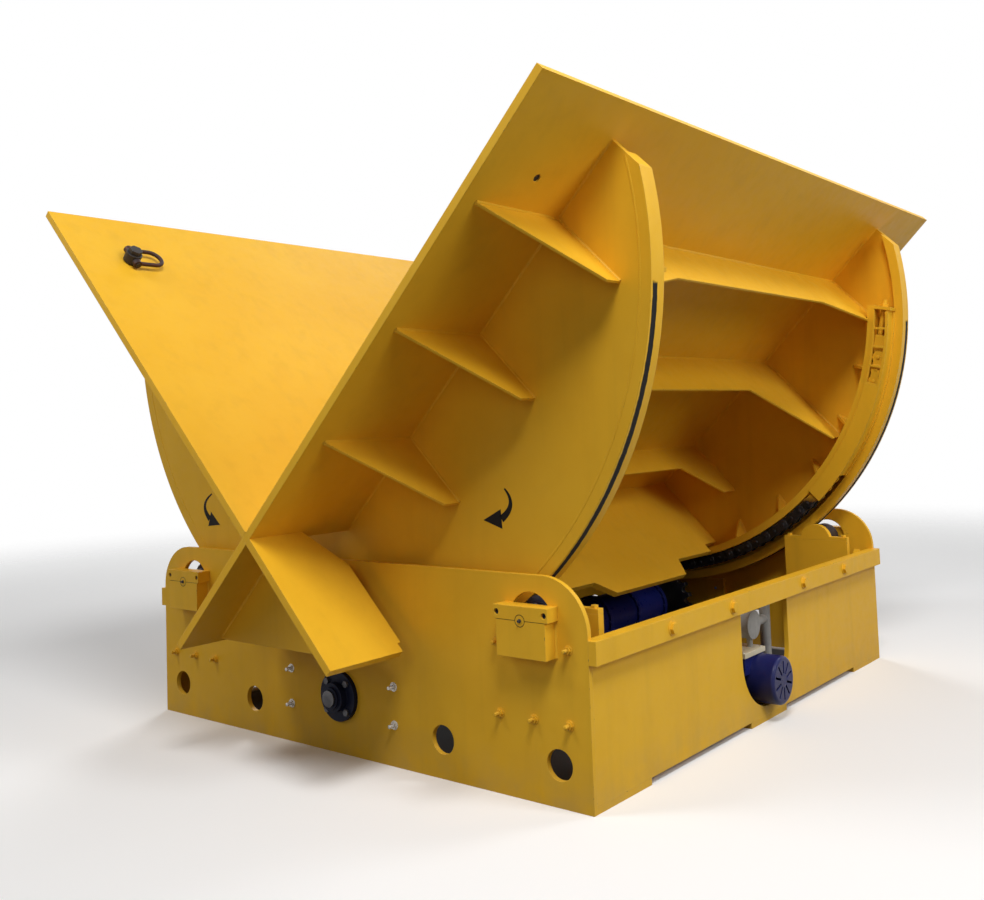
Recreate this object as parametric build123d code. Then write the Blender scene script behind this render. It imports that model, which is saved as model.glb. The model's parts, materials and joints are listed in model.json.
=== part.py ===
from build123d import *
import os
from math import asin, cos, hypot, pi, radians, sin, sqrt

# Sizes are in millimetres. X runs along the base, -Y is the near side and the floor is Z = 0.

# Rolling gear: two rims rest on four rollers
rim_radius = 1830.0
rim_depth = 55.0
rim_width = 100.0
rim_floor_gap = 430.0
rocker_thick = 38.0
rocker_gap = 50.0
roller_radius = 90.0
roller_angle = 39.0
roller_edge = 4.0
tread_margin = 10.0
rolling_gap = 0.3
hub_radius = 58.0
hub_play = 2.0
bush_wall = 10.0
axle_radius = 35.0
axle_tail_radius = 25.0
running_fit = 0.05

# Cradle: two tables at a right angle, with short legs past their crossing
crotch_drop = 1150.0
table_thick = 38.0
table_length = 2510.0
table_overhang = 550.0
rocker_inset = 170.0
leg_length = 770.0
leg_root_width = 310.0
leg_neck = 250.0
leg_tip_step = 20.0
leg_tip_length = 48.0
leg_side_gap = 21.0
shoulder_rise = 120.0
shoulder_span = 900.0
shoulder_bevel = 50.0
notch_rise = 102.0
notch_near = -600.0
notch_far = -90.0
notch_near_bevel = 60.0
notch_far_bevel = 130.0
web_inset = 235.0
web_thick = 20.0
rib_thick = 12.0
side_rib_first = 625.0
side_rib_inset = 585.0
side_rib_count = 3
rib_edge_inset = 80.0
rib_nose = 100.0
rib_clearance = 50.0
low_rib_station = 390.0
low_rib_depth = 200.0
low_haunch_start = 1085.0
low_haunch_gap = 312.0
middle_rib_station = 1195.0
middle_rib_depth = 300.0
middle_haunch_start = 860.0
middle_haunch_gap = 12.0
top_rib_inset = 610.0
top_rib_depth = 300.0
top_haunch_start = 860.0
top_haunch_drop = 30.0

# Drive: sprockets under the rims run in chains laid round the cradle
chain_pitch = 76.2
chain_inset = 107.0
chain_roller_radius = 23.8
chain_inner_width = 47.6
chain_plate_thick = 14.0
chain_plate_half = 36.0
chain_waist_half = 28.0
chain_side_gap = 7.0
chain_half_links = 31
sprocket_teeth = 21
sprocket_thick = 44.0
sprocket_addendum = 14.0
tooth_backlash = 1.7
tooth_tip_relief = 5.5
sprocket_hub_radius = 75.0
sprocket_hub_length = 100.0
shaft_radius = 40.0
shaft_proud = 85.0
track_thick = 25.0
track_margin = 12.0
track_web_depth = 22.0
track_web_thick = 20.0
track_end_angle = 89.6
shelf_plate_thick = 20.0
shelf_plate_reach = 36.0
gusset_depth = 141.0
gusset_thick = 16.0
gusset_first = 10.7
gusset_step = 13.0
gusset_pairs = 6
seat_gap = 0.3
track_clearance = 10.0
anchor_length = 100.0
stud_radius = 14.0
stud_drop = 22.0
stud_tail = 45.0
nut_flats = 44.0
nut_height = 20.0

# Base: side plates, end plates and rails
plate_thick = 25.0
base_width = 3250.0
axle_to_end = 291.0
side_over_axle = 182.0
side_corner = 230.0
hole_radius = 66.0
hole_height = 175.0
hole_inner = 680.0
hole_to_end = 165.0
window_radius = 110.0
pad_height = 30.0
pad_length = 420.0
pad_width = 75.0
rail_top = 700.0
rail_height = 100.0
rail_thick = 38.0
rail_bolt_places = (425.0, 1015.0)
rail_bolt_radius = 15.0
rail_bolt_flats = 46.0
rail_bolt_head = 19.0
slot_width = 550.0
slot_gap = 10.0

# Axle blocks, brackets and bolts
block_depth = 76.0
block_half = 130.0
block_height = 155.0
cap_half = 144.0
cap_height = 60.0
cap_bolt_inset = 18.0
screw_head_radius = 12.0
screw_head = 16.0
screw_sink = 24.0
screw_socket = 14.0
screw_socket_depth = 9.0
bracket_thick = 40.0
bracket_gap = 15.0
bracket_nose = 98.0
bracket_ear = 22.0
ear_bolt_inset = 30.0
ear_bolt_length = 80.0
gusset_end_rise = 150.0
shelf_height = 345.0
shelf_thick = 40.0
gusset_plate_thick = 40.0
gusset_plate_place = 190.0
gusset_rim_gap = 35.0
gusset_bolt_drop = 40.0
shelf_bolt_place = 185.0
axle_socket = 25.0
bolt_radius = 10.0
bolt_flats = 30.0
bolt_head = 13.0
bolt_clearance = 0.5
doubler_half = 440.0
doubler_height = 310.0
tie_bolt_place = 372.0
tie_bolt_spread = 89.0
flange_radius = 122.0
flange_thick = 24.0
boss_radius = 72.0
boss_length = 62.0
collar_radius = 54.0
collar_length = 75.0
flange_bolt_circle = 97.0
shaft_hole_radius = 58.0

# Gearmotor and its wiring
bed_rail_height = 40.0
bed_rail_width = 80.0
foot_thick = 30.0
foot_margin = 45.0
reducer_left = 210.0
reducer_right = 230.0
reducer_gap = 40.0
reducer_far = 200.0
reducer_tall_gap = 16.0
reducer_low_gap = 30.0
reducer_round = 60.0
reducer_hub_radius = 140.0
reducer_hub_play = 15.0
hub_flange_radius = 157.0
hub_flange_thick = 26.0
hub_flanges = 3
motor_drop = 73.0
gearbox_radius = 150.0
gearbox_length = 330.0
gearbox_flange_radius = 165.0
gearbox_flange_thick = 25.0
motor_radius = 106.0
motor_fin_height = 12.0
motor_fin_thick = 6.0
motor_fins = 24
motor_fin_margin = 30.0
cowl_radius = 125.0
cowl_wall = 6.0
cowl_length = 340.0
cowl_proud = 90.0
cowl_round = 18.0
cowl_slots = 10
cowl_slot_width = 12.0
cowl_slot_inner = 35.0
cowl_slot_outer = 100.0
box_near = -165.0
box_far = 55.0
box_length = 270.0
box_end_gap = 20.0
box_floor_drop = 40.0
box_over_motor = 10.0
lid_thick = 25.0
lid_lip = 8.0
conduit_radius = 29.0
conduit_flange_radius = 38.0
conduit_flange_thick = 12.0
conduit_end_gap = 75.0
conduit_top = 660.0
conduit_box_height = 480.0
conduit_box_place = 12.0
conduit_box_radius = 75.0
conduit_box_thick = 60.0
conduit_neck_radius = 25.0
conduit_drop_radius = 16.0

# Hoist rings
hoist_inset = 420.0
hoist_edge = 335.0
hoist_bolt_radius = 18.0
hoist_bolt_flats = 66.0
hoist_head = 26.0
hoist_bolt_recess = 6.0
swivel_radius = 46.0
swivel_base = 8.0
swivel_height = 56.0
swivel_fit = 0.08
trunnion_radius = 13.0
trunnion_proud = 4.0
bail_rod = 12.0
bail_eye_radius = 24.0
bail_eye_length = 28.0
bail_arm = 120.0
bail_eye_gap = 2.0
swivel_play = 0.3
washer_radius = 34.0

# Places that follow from the sizes above
rise = sqrt(0.5)
centre_height = rim_radius + rim_floor_gap
crotch_height = centre_height - crotch_drop
table_reach = crotch_drop * rise
table_half = table_thick / 2
rim_inner_radius = rim_radius - rim_depth
base_half = base_width / 2
side_inner = base_half - plate_thick
rocker_outer = side_inner - rocker_gap
rocker_inner = rocker_outer - rocker_thick
rim_inner = rocker_outer - rim_width
table_side = base_half + table_overhang
axle_distance = rim_radius + rolling_gap + roller_radius
axle_x = axle_distance * sin(radians(roller_angle))
axle_z = centre_height - axle_distance * cos(radians(roller_angle))
end_x = axle_x + axle_to_end
end_inner = end_x - plate_thick
side_top = axle_z + side_over_axle
bracket_outer = rim_inner - tread_margin - bracket_gap
bracket_inner = bracket_outer - bracket_thick
leg_inner = base_half + block_depth + leg_side_gap
rack_pitches = int(pi / asin(chain_pitch / 2 / (rim_radius - chain_inset)))
chain_radius = chain_pitch / 2 / sin(pi / rack_pitches)
link_angle = 360 / rack_pitches
sprocket_radius = chain_radius * sprocket_teeth / rack_pitches
shaft_height = centre_height - chain_radius - sprocket_radius
chain_half_width = chain_inner_width / 2 + chain_plate_thick
chain_y = rim_inner - chain_side_gap - chain_half_width
track_y = chain_y - chain_half_width - track_margin
track_outer = chain_radius - chain_plate_half - seat_gap
track_inner = track_outer - track_thick
web_radius = track_inner - track_web_depth
gusset_radius = track_inner - gusset_depth
inside_track = web_radius - track_clearance
rib_depth = centre_height - table_reach - side_top - rib_clearance
motor_z = shaft_height - motor_drop
bed_top = pad_height + bed_rail_height
leg_sweep = hypot(table_reach + leg_length, table_reach + table_half)
notch_sweep = hypot(table_reach + leg_length - notch_rise, table_reach + table_half)
rocker_stop = table_length - rocker_inset
hoist_station = table_length - hoist_inset
top_rib_station = table_length - top_rib_inset
side_rib_step = (table_length - side_rib_inset - side_rib_first) / (side_rib_count - 1)


def block(x_low, x_high, y_low, y_high, z_low, z_high):
    """A box given by its limits."""
    middle = Pos((x_low + x_high) / 2, (y_low + y_high) / 2, (z_low + z_high) / 2)
    return middle * Box(x_high - x_low, y_high - y_low, z_high - z_low)


def rod_y(radius, x, z, y_low, y_high):
    """A cylinder along Y."""
    return Pos(x, (y_low + y_high) / 2, z) * Rot(90, 0, 0) * Cylinder(radius, y_high - y_low)


def rod_x(radius, y, z, x_low, x_high):
    """A cylinder along X."""
    return Pos((x_low + x_high) / 2, y, z) * Rot(0, 90, 0) * Cylinder(radius, x_high - x_low)


def slab_xz(points, y_low, y_high):
    """An outline in x and z, extruded from y_low to y_high."""
    face = Plane.XZ * make_face(Polyline(*points, close=True))
    return Pos(0, y_low, 0) * extrude(face, amount=y_high - y_low, dir=(0, 1, 0))


def on_ends(shape):
    """A piece of the right end and its mirror image on the left."""
    return [shape, mirror(shape, about=Plane.YZ)]


def on_sides(shape):
    """A piece of the near side and its mirror image on the far side."""
    return [shape, mirror(shape, about=Plane.XZ)]


def on_corners(shape):
    """A piece of the near right corner and its three mirror images."""
    return [copy for end in on_ends(shape) for copy in on_sides(end)]


def save(name, *solids):
    """Writes one node."""
    export_step(Compound(children=list(solids)), f"parts/{name}.step")


def save_sides(name, shape):
    """Writes a near node and its mirror image as the far node."""
    near, far = on_sides(shape)
    save(f"{name}_near", near)
    save(f"{name}_far", far)


def save_corners(name, shape):
    """Writes one node for each corner."""
    places = ("near_right", "far_right", "near_left", "far_left")
    for place, copy in zip(places, on_corners(shape)):
        save(f"{name}_{place}", copy)


def ring_place(radius, angle):
    """The x and z of a point on the cradle, by its angle from straight under the rim centre."""
    turn = radians(angle)
    return radius * sin(turn), centre_height - radius * cos(turn)


def ring_slab(inner, outer, half_angle, y_low, y_high):
    """A part of a ring about the rim centre, even to both sides of its lowest point."""
    ring = rod_y(outer, 0, centre_height, y_low, y_high) - rod_y(inner, 0, centre_height, y_low, y_high)
    far_out = 4 * outer
    right = ring_place(far_out, half_angle)
    left = ring_place(far_out, -half_angle)
    below = centre_height - far_out
    wedge = [(0, centre_height), right, (far_out, below), (-far_out, below), left]
    return ring & slab_xz(wedge, y_low, y_high)


def tangent_plane(radius, angle, y):
    """A plane on the cradle whose x runs along the rim and whose y points away from its centre."""
    x, z = ring_place(radius, angle)
    turn = radians(angle)
    return Plane(origin=(x, y, z), x_dir=(cos(turn), 0, sin(turn)), z_dir=(0, 1, 0))


table_plane = Plane(origin=(0, 0, crotch_height), x_dir=(1, 0, 1), z_dir=(-1, 0, 1))


def table_slab(points, low, high):
    """An outline in distance up the right table and y, extruded along the table's normal."""
    face = make_face(Polyline(*points, close=True))
    return table_plane * Pos(0, 0, low) * extrude(face, amount=high - low, dir=(0, 0, 1))


def table_rib(station, points):
    """An outline in y and depth under the right table, standing across it at a station."""
    origin = (rise * station, 0, crotch_height + rise * station)
    plane = Plane(origin=origin, x_dir=(0, 1, 0), z_dir=(1, 0, 1))
    face = make_face(Polyline(*[(across, -depth) for across, depth in points], close=True))
    return plane * Pos(0, 0, -rib_thick / 2) * extrude(face, amount=rib_thick, dir=(0, 0, 1))


def depth_at(station, radius):
    """The depth under the right table at which a station meets a circle about the rim centre."""
    return sqrt(radius**2 - (station - table_reach) ** 2) - table_reach


def hex_bolt(radius, length, flats, head):
    """A bolt whose head stands on z = 0, with its shank below."""
    top = extrude(RegularPolygon(flats / sqrt(3), 6), amount=head)
    return top + Pos(0, 0, -length / 2) * Cylinder(radius, length)


def bolt_near(x, y, z, length):
    """A bolt put in from the near side, with its head seated at y."""
    plane = Plane(origin=(x, y, z), x_dir=(1, 0, 0), z_dir=(0, -1, 0))
    return plane * hex_bolt(bolt_radius, length, bolt_flats, bolt_head)


def screw_near(x, y, z, length):
    """A socket screw put in from the near side, with its head seated at y."""
    plane = Plane(origin=(x, y, z), x_dir=(1, 0, 0), z_dir=(0, -1, 0))
    head = extrude(Circle(screw_head_radius), amount=screw_head)
    socket = extrude(RegularPolygon(screw_socket / sqrt(3), 6), amount=screw_socket_depth)
    head -= Pos(0, 0, screw_head - screw_socket_depth) * socket
    return plane * (head + Pos(0, 0, -length / 2) * Cylinder(bolt_radius, length))


def bolt_hole_near(x, y, z, length):
    """The hole for a bolt put in from the near side."""
    return rod_y(bolt_radius + bolt_clearance, x, z, y, y + length + bolt_clearance)


def corner_bolts():
    """The x, y, z and length of each bolt at the near right roller."""
    cap_bolt_z = axle_z + cap_height / 2
    for way in (-1, 1):
        cap_bolt_x = axle_x + way * (cap_half - cap_bolt_inset)
        cap_seat = -base_half - block_depth + screw_sink
        yield "cap", cap_bolt_x, cap_seat, cap_bolt_z, block_depth - screw_sink + plate_thick
        gusset_x = axle_x + way * gusset_plate_place
        yield "bracket", gusset_x, -base_half, gusset_top - gusset_bolt_drop, plate_thick * 2
    for way in (-1, 0, 1):
        shelf_x = axle_x + way * shelf_bolt_place
        yield "bracket", shelf_x, -base_half, shelf_height, plate_thick * 2


def tie_bolts():
    """The x, y, z and length of the near bolts that hold the bearing's doubler plate."""
    for x in (-tie_bolt_place, tie_bolt_place):
        for z in (shaft_height - tie_bolt_spread, shaft_height + tie_bolt_spread):
            yield x, -base_half, z, 2 * plate_thick


def flange_bolts():
    """The x, y, z and length of the near flange bearing's bolts."""
    offset = flange_bolt_circle * rise
    for x in (-offset, offset):
        for z in (shaft_height - offset, shaft_height + offset):
            yield x, -base_half - flange_thick, z, flange_thick + 2 * plate_thick


gusset_plate_reach = gusset_plate_place + gusset_plate_thick / 2
gusset_inside_x = axle_x - gusset_plate_reach
gusset_top = centre_height - sqrt(rim_radius**2 - gusset_inside_x**2) - gusset_rim_gap

os.makedirs("parts", exist_ok=True)

# Side plates
side = block(-end_x, end_x, -base_half, -side_inner, 0, side_top)
top_corners = side.edges().filter_by(Axis.Y).group_by(Axis.Z)[-1]
side = fillet(top_corners, side_corner)
side -= rod_y(shaft_hole_radius, 0, shaft_height, -base_half, -side_inner)
for x in (hole_inner, end_x - hole_to_end):
    for hole in on_ends(rod_y(hole_radius, x, hole_height, -base_half, -side_inner)):
        side -= hole
for window in on_ends(rod_y(window_radius, axle_x, axle_z, -base_half, -side_inner)):
    side -= window
for _, x, y, z, length in corner_bolts():
    for hole in on_ends(bolt_hole_near(x, y, z, length)):
        side -= hole
for x, y, z, length in (*tie_bolts(), *flange_bolts()):
    side -= bolt_hole_near(x, y, z, length)
save_sides("side_plate", side)

# End plates, with the motor's slot on the right
end_plate = block(end_inner, end_x, -side_inner, side_inner, pad_height, rail_top)
rail = block(end_x, end_x + rail_thick, -base_half, base_half, rail_top - rail_height, rail_top)
rail_bolts = []
for place in (-rail_bolt_places[1], -rail_bolt_places[0], *rail_bolt_places):
    seat = (end_x + rail_thick, place, rail_top - rail_height / 2)
    plane = Plane(origin=seat, x_dir=(0, 1, 0), z_dir=(1, 0, 0))
    rail_bolt = hex_bolt(rail_bolt_radius, rail_thick + plate_thick, rail_bolt_flats, rail_bolt_head)
    rail_bolts.append(plane * rail_bolt)
    hole = rod_x(rail_bolt_radius + bolt_clearance, place, seat[2], end_inner, seat[0])
    end_plate -= hole
    rail -= hole
slot_round = motor_z - cowl_radius - slot_gap + slot_width / 2
slot = block(end_inner, end_x, -slot_width / 2, slot_width / 2, slot_round, rail_top - rail_height)
slot += rod_x(slot_width / 2, 0, slot_round, end_inner, end_x)
save("end_plate_right", end_plate - slot)
save("end_plate_left", mirror(end_plate, about=Plane.YZ))
save("end_rails", *on_ends(rail))
save("rail_bolts", *[copy for bolt in rail_bolts for copy in on_ends(bolt)])

pads = []
for middle in (-side_inner + pad_length / 2, 0, side_inner - pad_length / 2):
    pad = block(end_x - pad_width, end_x, middle - pad_length / 2, middle + pad_length / 2, 0, pad_height)
    pads.extend(on_ends(pad))
save("foot_pads", *pads)

# Roller brackets: an inner plate with a bolted cap, a shelf and two gussets, bolted to the side plate
shelf_low = shelf_height - shelf_thick / 2
shelf_high = shelf_height + shelf_thick / 2
shelf_start = axle_x - gusset_plate_reach
shelf_finish = axle_x + gusset_plate_reach
bracket = block(shelf_start, shelf_finish, -bracket_outer, -bracket_inner, shelf_low, axle_z)
ear_high = axle_z + bracket_ear
bracket_cap = rod_y(bracket_nose, axle_x, axle_z, -bracket_outer, -bracket_inner)
bracket_cap &= block(shelf_start, shelf_finish, -bracket_outer, -bracket_inner, axle_z, axle_z + bracket_nose)
bracket_cap += block(shelf_start, shelf_finish, -bracket_outer, -bracket_inner, axle_z, ear_high)
bracket += block(shelf_start, shelf_finish, -side_inner, -bracket_outer, shelf_low, shelf_high)
for way in (-1, 1):
    low_x = axle_x + way * gusset_plate_place - gusset_plate_thick / 2
    gusset_face = make_face(
        Polyline(
            (-side_inner, shelf_high),
            (-bracket_outer, shelf_high),
            (-bracket_outer, shelf_high + gusset_end_rise),
            (-side_inner, gusset_top),
            close=True,
        )
    )
    gusset = extrude(Plane.YZ * gusset_face, amount=gusset_plate_thick, dir=(1, 0, 0))
    bracket += Pos(low_x, 0, 0) * gusset
axle_end = bracket_outer - axle_socket
socket = rod_y(axle_radius, axle_x, axle_z, -bracket_outer, -axle_end)
bracket -= socket
bracket_cap -= socket
for kind, x, y, z, length in corner_bolts():
    if kind == "bracket":
        bracket -= bolt_hole_near(x, y, z, length)
ear_bolt = hex_bolt(bolt_radius, ear_bolt_length, bolt_flats, bolt_head)
ear_hole_length = ear_bolt_length + bolt_clearance
ear_hole = Pos(0, 0, -ear_hole_length / 2) * Cylinder(bolt_radius + bolt_clearance, ear_hole_length)
ear_bolts = []
for x in (shelf_start + ear_bolt_inset, shelf_finish - ear_bolt_inset):
    place = Pos(x, -(bracket_outer + bracket_inner) / 2, ear_high)
    bracket -= place * ear_hole
    bracket_cap -= place * ear_hole
    ear_bolts.extend(on_corners(place * ear_bolt))
save("roller_brackets", *on_corners(bracket))
save("bracket_caps", *on_corners(bracket_cap))

# Split axle blocks with their caps and bolts
block_outer = base_half + block_depth
block_low = axle_z - block_height
axle_block = block(axle_x - block_half, axle_x + block_half, -block_outer, -base_half, block_low, axle_z)
axle_cap = block(axle_x - cap_half, axle_x + cap_half, -block_outer, -base_half, axle_z, axle_z + cap_height)
axle_bore = rod_y(axle_tail_radius, axle_x, axle_z, -block_outer, -base_half)
axle_block -= axle_bore
axle_cap -= axle_bore
cap_bolts = []
bracket_bolts = []
for kind, x, y, z, length in corner_bolts():
    if kind == "cap":
        axle_cap -= bolt_hole_near(x, y, z, length)
        axle_cap -= rod_y(screw_head_radius + bolt_clearance, x, z, y - screw_sink, y)
        cap_bolts.extend(on_corners(screw_near(x, y, z, length)))
    else:
        bracket_bolts.extend(on_corners(bolt_near(x, y, z, length)))
save("axle_blocks", *on_corners(axle_block))
save("axle_caps", *on_corners(axle_cap))
save("cap_bolts", *cap_bolts, *ear_bolts)

# Axles, held between the outer blocks and the brackets' sockets
axle = rod_y(axle_radius, axle_x, axle_z, -base_half, -axle_end)
axle += rod_y(axle_tail_radius, axle_x, axle_z, -block_outer, -base_half)
save("roller_axles", *on_corners(axle))

# Rollers on bronze bushes
tread_low = -rocker_outer - tread_margin
tread_high = -rim_inner + tread_margin
hub_low = -side_inner + hub_play
hub_high = -bracket_outer - hub_play
bush_radius = axle_radius + bush_wall
tread = rod_y(roller_radius, axle_x, axle_z, tread_low, tread_high)
tread = chamfer(tread.edges().filter_by(GeomType.CIRCLE), roller_edge)
roller = tread + rod_y(hub_radius, axle_x, axle_z, hub_low, hub_high)
roller -= rod_y(bush_radius, axle_x, axle_z, hub_low, hub_high)
bush = rod_y(bush_radius, axle_x, axle_z, hub_low, hub_high)
bush -= rod_y(axle_radius + running_fit, axle_x, axle_z, hub_low, hub_high)
save_corners("roller", roller)
save_corners("roller_bush", bush)

# Flange bearings, their doubler plates and bolts
doubler = block(
    -doubler_half,
    doubler_half,
    -side_inner,
    -side_inner + plate_thick,
    shaft_height - doubler_height / 2,
    shaft_height + doubler_height / 2,
)
doubler -= rod_y(shaft_hole_radius, 0, shaft_height, -side_inner, -side_inner + plate_thick)
bearing = rod_y(flange_radius, 0, shaft_height, -base_half - flange_thick, -base_half)
bearing += rod_y(boss_radius, 0, shaft_height, -base_half - boss_length, -base_half)
bearing += rod_y(collar_radius, 0, shaft_height, -base_half - collar_length, -base_half)
bearing -= rod_y(shaft_radius + running_fit, 0, shaft_height, -base_half - collar_length, -base_half)
bearing_bolts = []
for x, y, z, length in flange_bolts():
    doubler -= bolt_hole_near(x, y, z, length)
    bearing -= bolt_hole_near(x, y, z, length)
    bearing_bolts.extend(on_sides(bolt_near(x, y, z, length)))
tie_bolt_solids = []
for x, y, z, length in tie_bolts():
    doubler -= bolt_hole_near(x, y, z, length)
    tie_bolt_solids.extend(on_sides(bolt_near(x, y, z, length)))
save("bearing_doublers", *on_sides(doubler))
save("flange_bearings", *on_sides(bearing))
save("bearing_bolts", *bearing_bolts)
save("side_bolts", *bracket_bolts, *tie_bolt_solids)

# Drive shaft and sprockets
shaft_end = base_half + shaft_proud
save("drive_shaft", rod_y(shaft_radius, 0, shaft_height, -shaft_end, shaft_end))

tip_radius = sprocket_radius + sprocket_addendum
seat_radius = chain_roller_radius + tooth_backlash
tooth_gap = [
    (-seat_radius, sprocket_radius),
    (seat_radius, sprocket_radius),
    (seat_radius + tooth_tip_relief, tip_radius),
    (seat_radius + tooth_tip_relief, tip_radius + sprocket_addendum),
    (-seat_radius - tooth_tip_relief, tip_radius + sprocket_addendum),
    (-seat_radius - tooth_tip_relief, tip_radius),
]
sprocket_face = Circle(tip_radius)
gaps = []
for tooth in range(sprocket_teeth):
    gap = make_face(Polyline(*tooth_gap, close=True)) + Pos(0, sprocket_radius) * Circle(seat_radius)
    gaps.append(Rot(0, 0, tooth * 360 / sprocket_teeth) * gap)
sprocket_face -= gaps
sprocket = Plane.XZ * extrude(sprocket_face, amount=sprocket_thick / 2, both=True)
sprocket = Pos(0, -chain_y, shaft_height) * sprocket
hub_start = -chain_y + sprocket_thick / 2
sprocket += rod_y(sprocket_hub_radius, 0, shaft_height, hub_start, hub_start + sprocket_hub_length)
sprocket -= rod_y(shaft_radius, 0, shaft_height, -shaft_end, 0)
save("drive_sprockets", *on_sides(sprocket))

# Gear reducer on two bed rails, with its input gearbox
reducer_near = notch_near + reducer_gap
reducer_step = notch_far - reducer_gap
reducer_tall = centre_height - notch_sweep - reducer_tall_gap
reducer_low = centre_height - leg_sweep - reducer_low_gap
foot_near = reducer_near - foot_margin
foot_far = reducer_far + foot_margin
housing = block(-reducer_left, reducer_right, reducer_near, reducer_step, bed_top, reducer_tall)
housing = fillet(housing.edges().filter_by(Axis.Y).group_by(Axis.Z)[-1], reducer_round)
low_housing = block(-reducer_left, reducer_right, reducer_step, reducer_far, bed_top, reducer_low)
low_housing = fillet(low_housing.edges().filter_by(Axis.Y).group_by(Axis.Z)[-1], reducer_round)
reducer = housing + low_housing
reducer += block(-reducer_left, reducer_right, foot_near, foot_far, bed_top, bed_top + foot_thick)
reducer_hub_end = chain_y - sprocket_thick / 2 - sprocket_hub_length - reducer_hub_play
reducer += rod_y(reducer_hub_radius, 0, shaft_height, foot_near, reducer_hub_end)
flange_step = (reducer_hub_end - foot_far) / hub_flanges
for flange in range(hub_flanges):
    flange_end = reducer_hub_end - flange * flange_step
    reducer += rod_y(hub_flange_radius, 0, shaft_height, flange_end - hub_flange_thick, flange_end)
reducer -= rod_y(shaft_radius + running_fit, 0, shaft_height, foot_near, reducer_hub_end)
near_rail = block(-end_inner, end_inner, foot_near, foot_near + bed_rail_width, pad_height, bed_top)
far_rail = block(-end_inner, end_inner, foot_far - bed_rail_width, foot_far, pad_height, bed_top)
foot_bolt = hex_bolt(bolt_radius, foot_thick + bed_rail_height, bolt_flats, bolt_head)
foot_hole = Cylinder(bolt_radius + bolt_clearance, 2 * (foot_thick + bed_rail_height))
reducer_bolts = []
for x in (-reducer_left + foot_margin, reducer_right - foot_margin):
    for y in (foot_near + foot_margin / 2, foot_far - foot_margin / 2):
        place = Pos(x, y, bed_top + foot_thick)
        reducer -= place * foot_hole
        near_rail -= place * foot_hole
        far_rail -= place * foot_hole
        reducer_bolts.append(place * foot_bolt)
save("bed_rails", near_rail, far_rail)
save("gear_reducer", reducer)
save("reducer_bolts", *reducer_bolts)

gearbox_end = reducer_right + gearbox_length
gearbox = rod_x(gearbox_radius, 0, motor_z, reducer_right, gearbox_end)
for start in (reducer_right, gearbox_end - gearbox_flange_thick):
    gearbox += rod_x(gearbox_flange_radius, 0, motor_z, start, start + gearbox_flange_thick)
save("input_gearbox", gearbox)

# Motor, fan cowl, terminal box and wiring
cowl_end = end_x + cowl_proud
cowl_start = cowl_end - cowl_length
motor = rod_x(motor_radius, 0, motor_z, gearbox_end, cowl_start)
fin_reach = motor_radius + motor_fin_height
fin = block(
    gearbox_end + motor_fin_margin,
    cowl_start - motor_fin_margin,
    -motor_fin_thick / 2,
    motor_fin_thick / 2,
    motor_radius - motor_fin_height,
    fin_reach,
)
motor += [Pos(0, 0, motor_z) * Rot(turn * 360 / motor_fins, 0, 0) * fin for turn in range(motor_fins)]
save("drive_motor", motor)

cowl = rod_x(cowl_radius, 0, motor_z, cowl_start, cowl_end)
cowl = fillet(cowl.edges().filter_by(GeomType.CIRCLE).sort_by(Axis.X)[-1], cowl_round)
cowl -= rod_x(cowl_radius - cowl_wall, 0, motor_z, cowl_start + cowl_wall, cowl_end - cowl_wall - cowl_round)
slot_cut = block(
    cowl_end - 2 * cowl_wall - cowl_round,
    cowl_end,
    -cowl_slot_width / 2,
    cowl_slot_width / 2,
    cowl_slot_inner,
    cowl_slot_outer,
)
cowl -= [Pos(0, 0, motor_z) * Rot(turn * 360 / cowl_slots, 0, 0) * slot_cut for turn in range(cowl_slots)]
save("fan_cowl", cowl)

box_end = end_inner - box_end_gap
box_start = box_end - box_length
lid_low = motor_z + fin_reach + box_over_motor
terminal_box = block(box_start, box_end, box_near, box_far, motor_z + box_floor_drop, lid_low)
terminal_box -= rod_x(fin_reach + seat_gap, 0, motor_z, box_start, cowl_start)
terminal_box -= rod_x(cowl_radius + seat_gap, 0, motor_z, cowl_start, box_end)
lid = block(
    box_start - lid_lip,
    box_end + lid_lip,
    box_near - lid_lip,
    box_far + lid_lip,
    lid_low,
    lid_low + lid_thick,
)
lid -= rod_x(cowl_radius + seat_gap, 0, motor_z, cowl_start, box_end + lid_lip)
save("terminal_box", terminal_box)
save("terminal_lid", lid)

conduit_x = end_inner - conduit_end_gap
conduit_y = foot_far - bed_rail_width / 2
riser = Cylinder(conduit_radius, conduit_top - bed_top)
riser = Pos(conduit_x, conduit_y, (bed_top + conduit_top) / 2) * riser
riser_foot = Cylinder(conduit_flange_radius, conduit_flange_thick)
riser += Pos(conduit_x, conduit_y, bed_top + conduit_flange_thick / 2) * riser_foot
wiring_box_low = conduit_x - conduit_box_thick / 2
wiring_box_high = conduit_x + conduit_box_thick / 2
wiring_box = rod_x(conduit_box_radius, conduit_box_place, conduit_box_height, wiring_box_low, wiring_box_high)
wiring_box += rod_y(conduit_neck_radius, conduit_x, conduit_box_height, conduit_box_place, conduit_y)
drop_low = lid_low + lid_thick
drop = Cylinder(conduit_drop_radius, conduit_box_height - drop_low)
wiring_box += Pos(conduit_x, conduit_box_place, (conduit_box_height + drop_low) / 2) * drop
wiring_box -= riser
save("conduit_riser", riser)
save("junction_box", wiring_box)

# Tables and their hoist bolts
hoist_y = table_side - hoist_edge
hoist_place = table_plane * Pos(hoist_station, -hoist_y, table_half)
hoist_hole = Cylinder(hoist_bolt_radius, 4 * table_thick)
table_sheet = block(-table_half, table_length, -table_side, table_side, -table_half, table_half)
table = table_plane * table_sheet - on_sides(hoist_place * hoist_hole)
save("table_right", table)
crossing = table_plane * block(-table_half, table_half, -table_side, table_side, -table_half, table_half)
save("table_left", mirror(table, about=Plane.YZ) - crossing)

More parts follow.
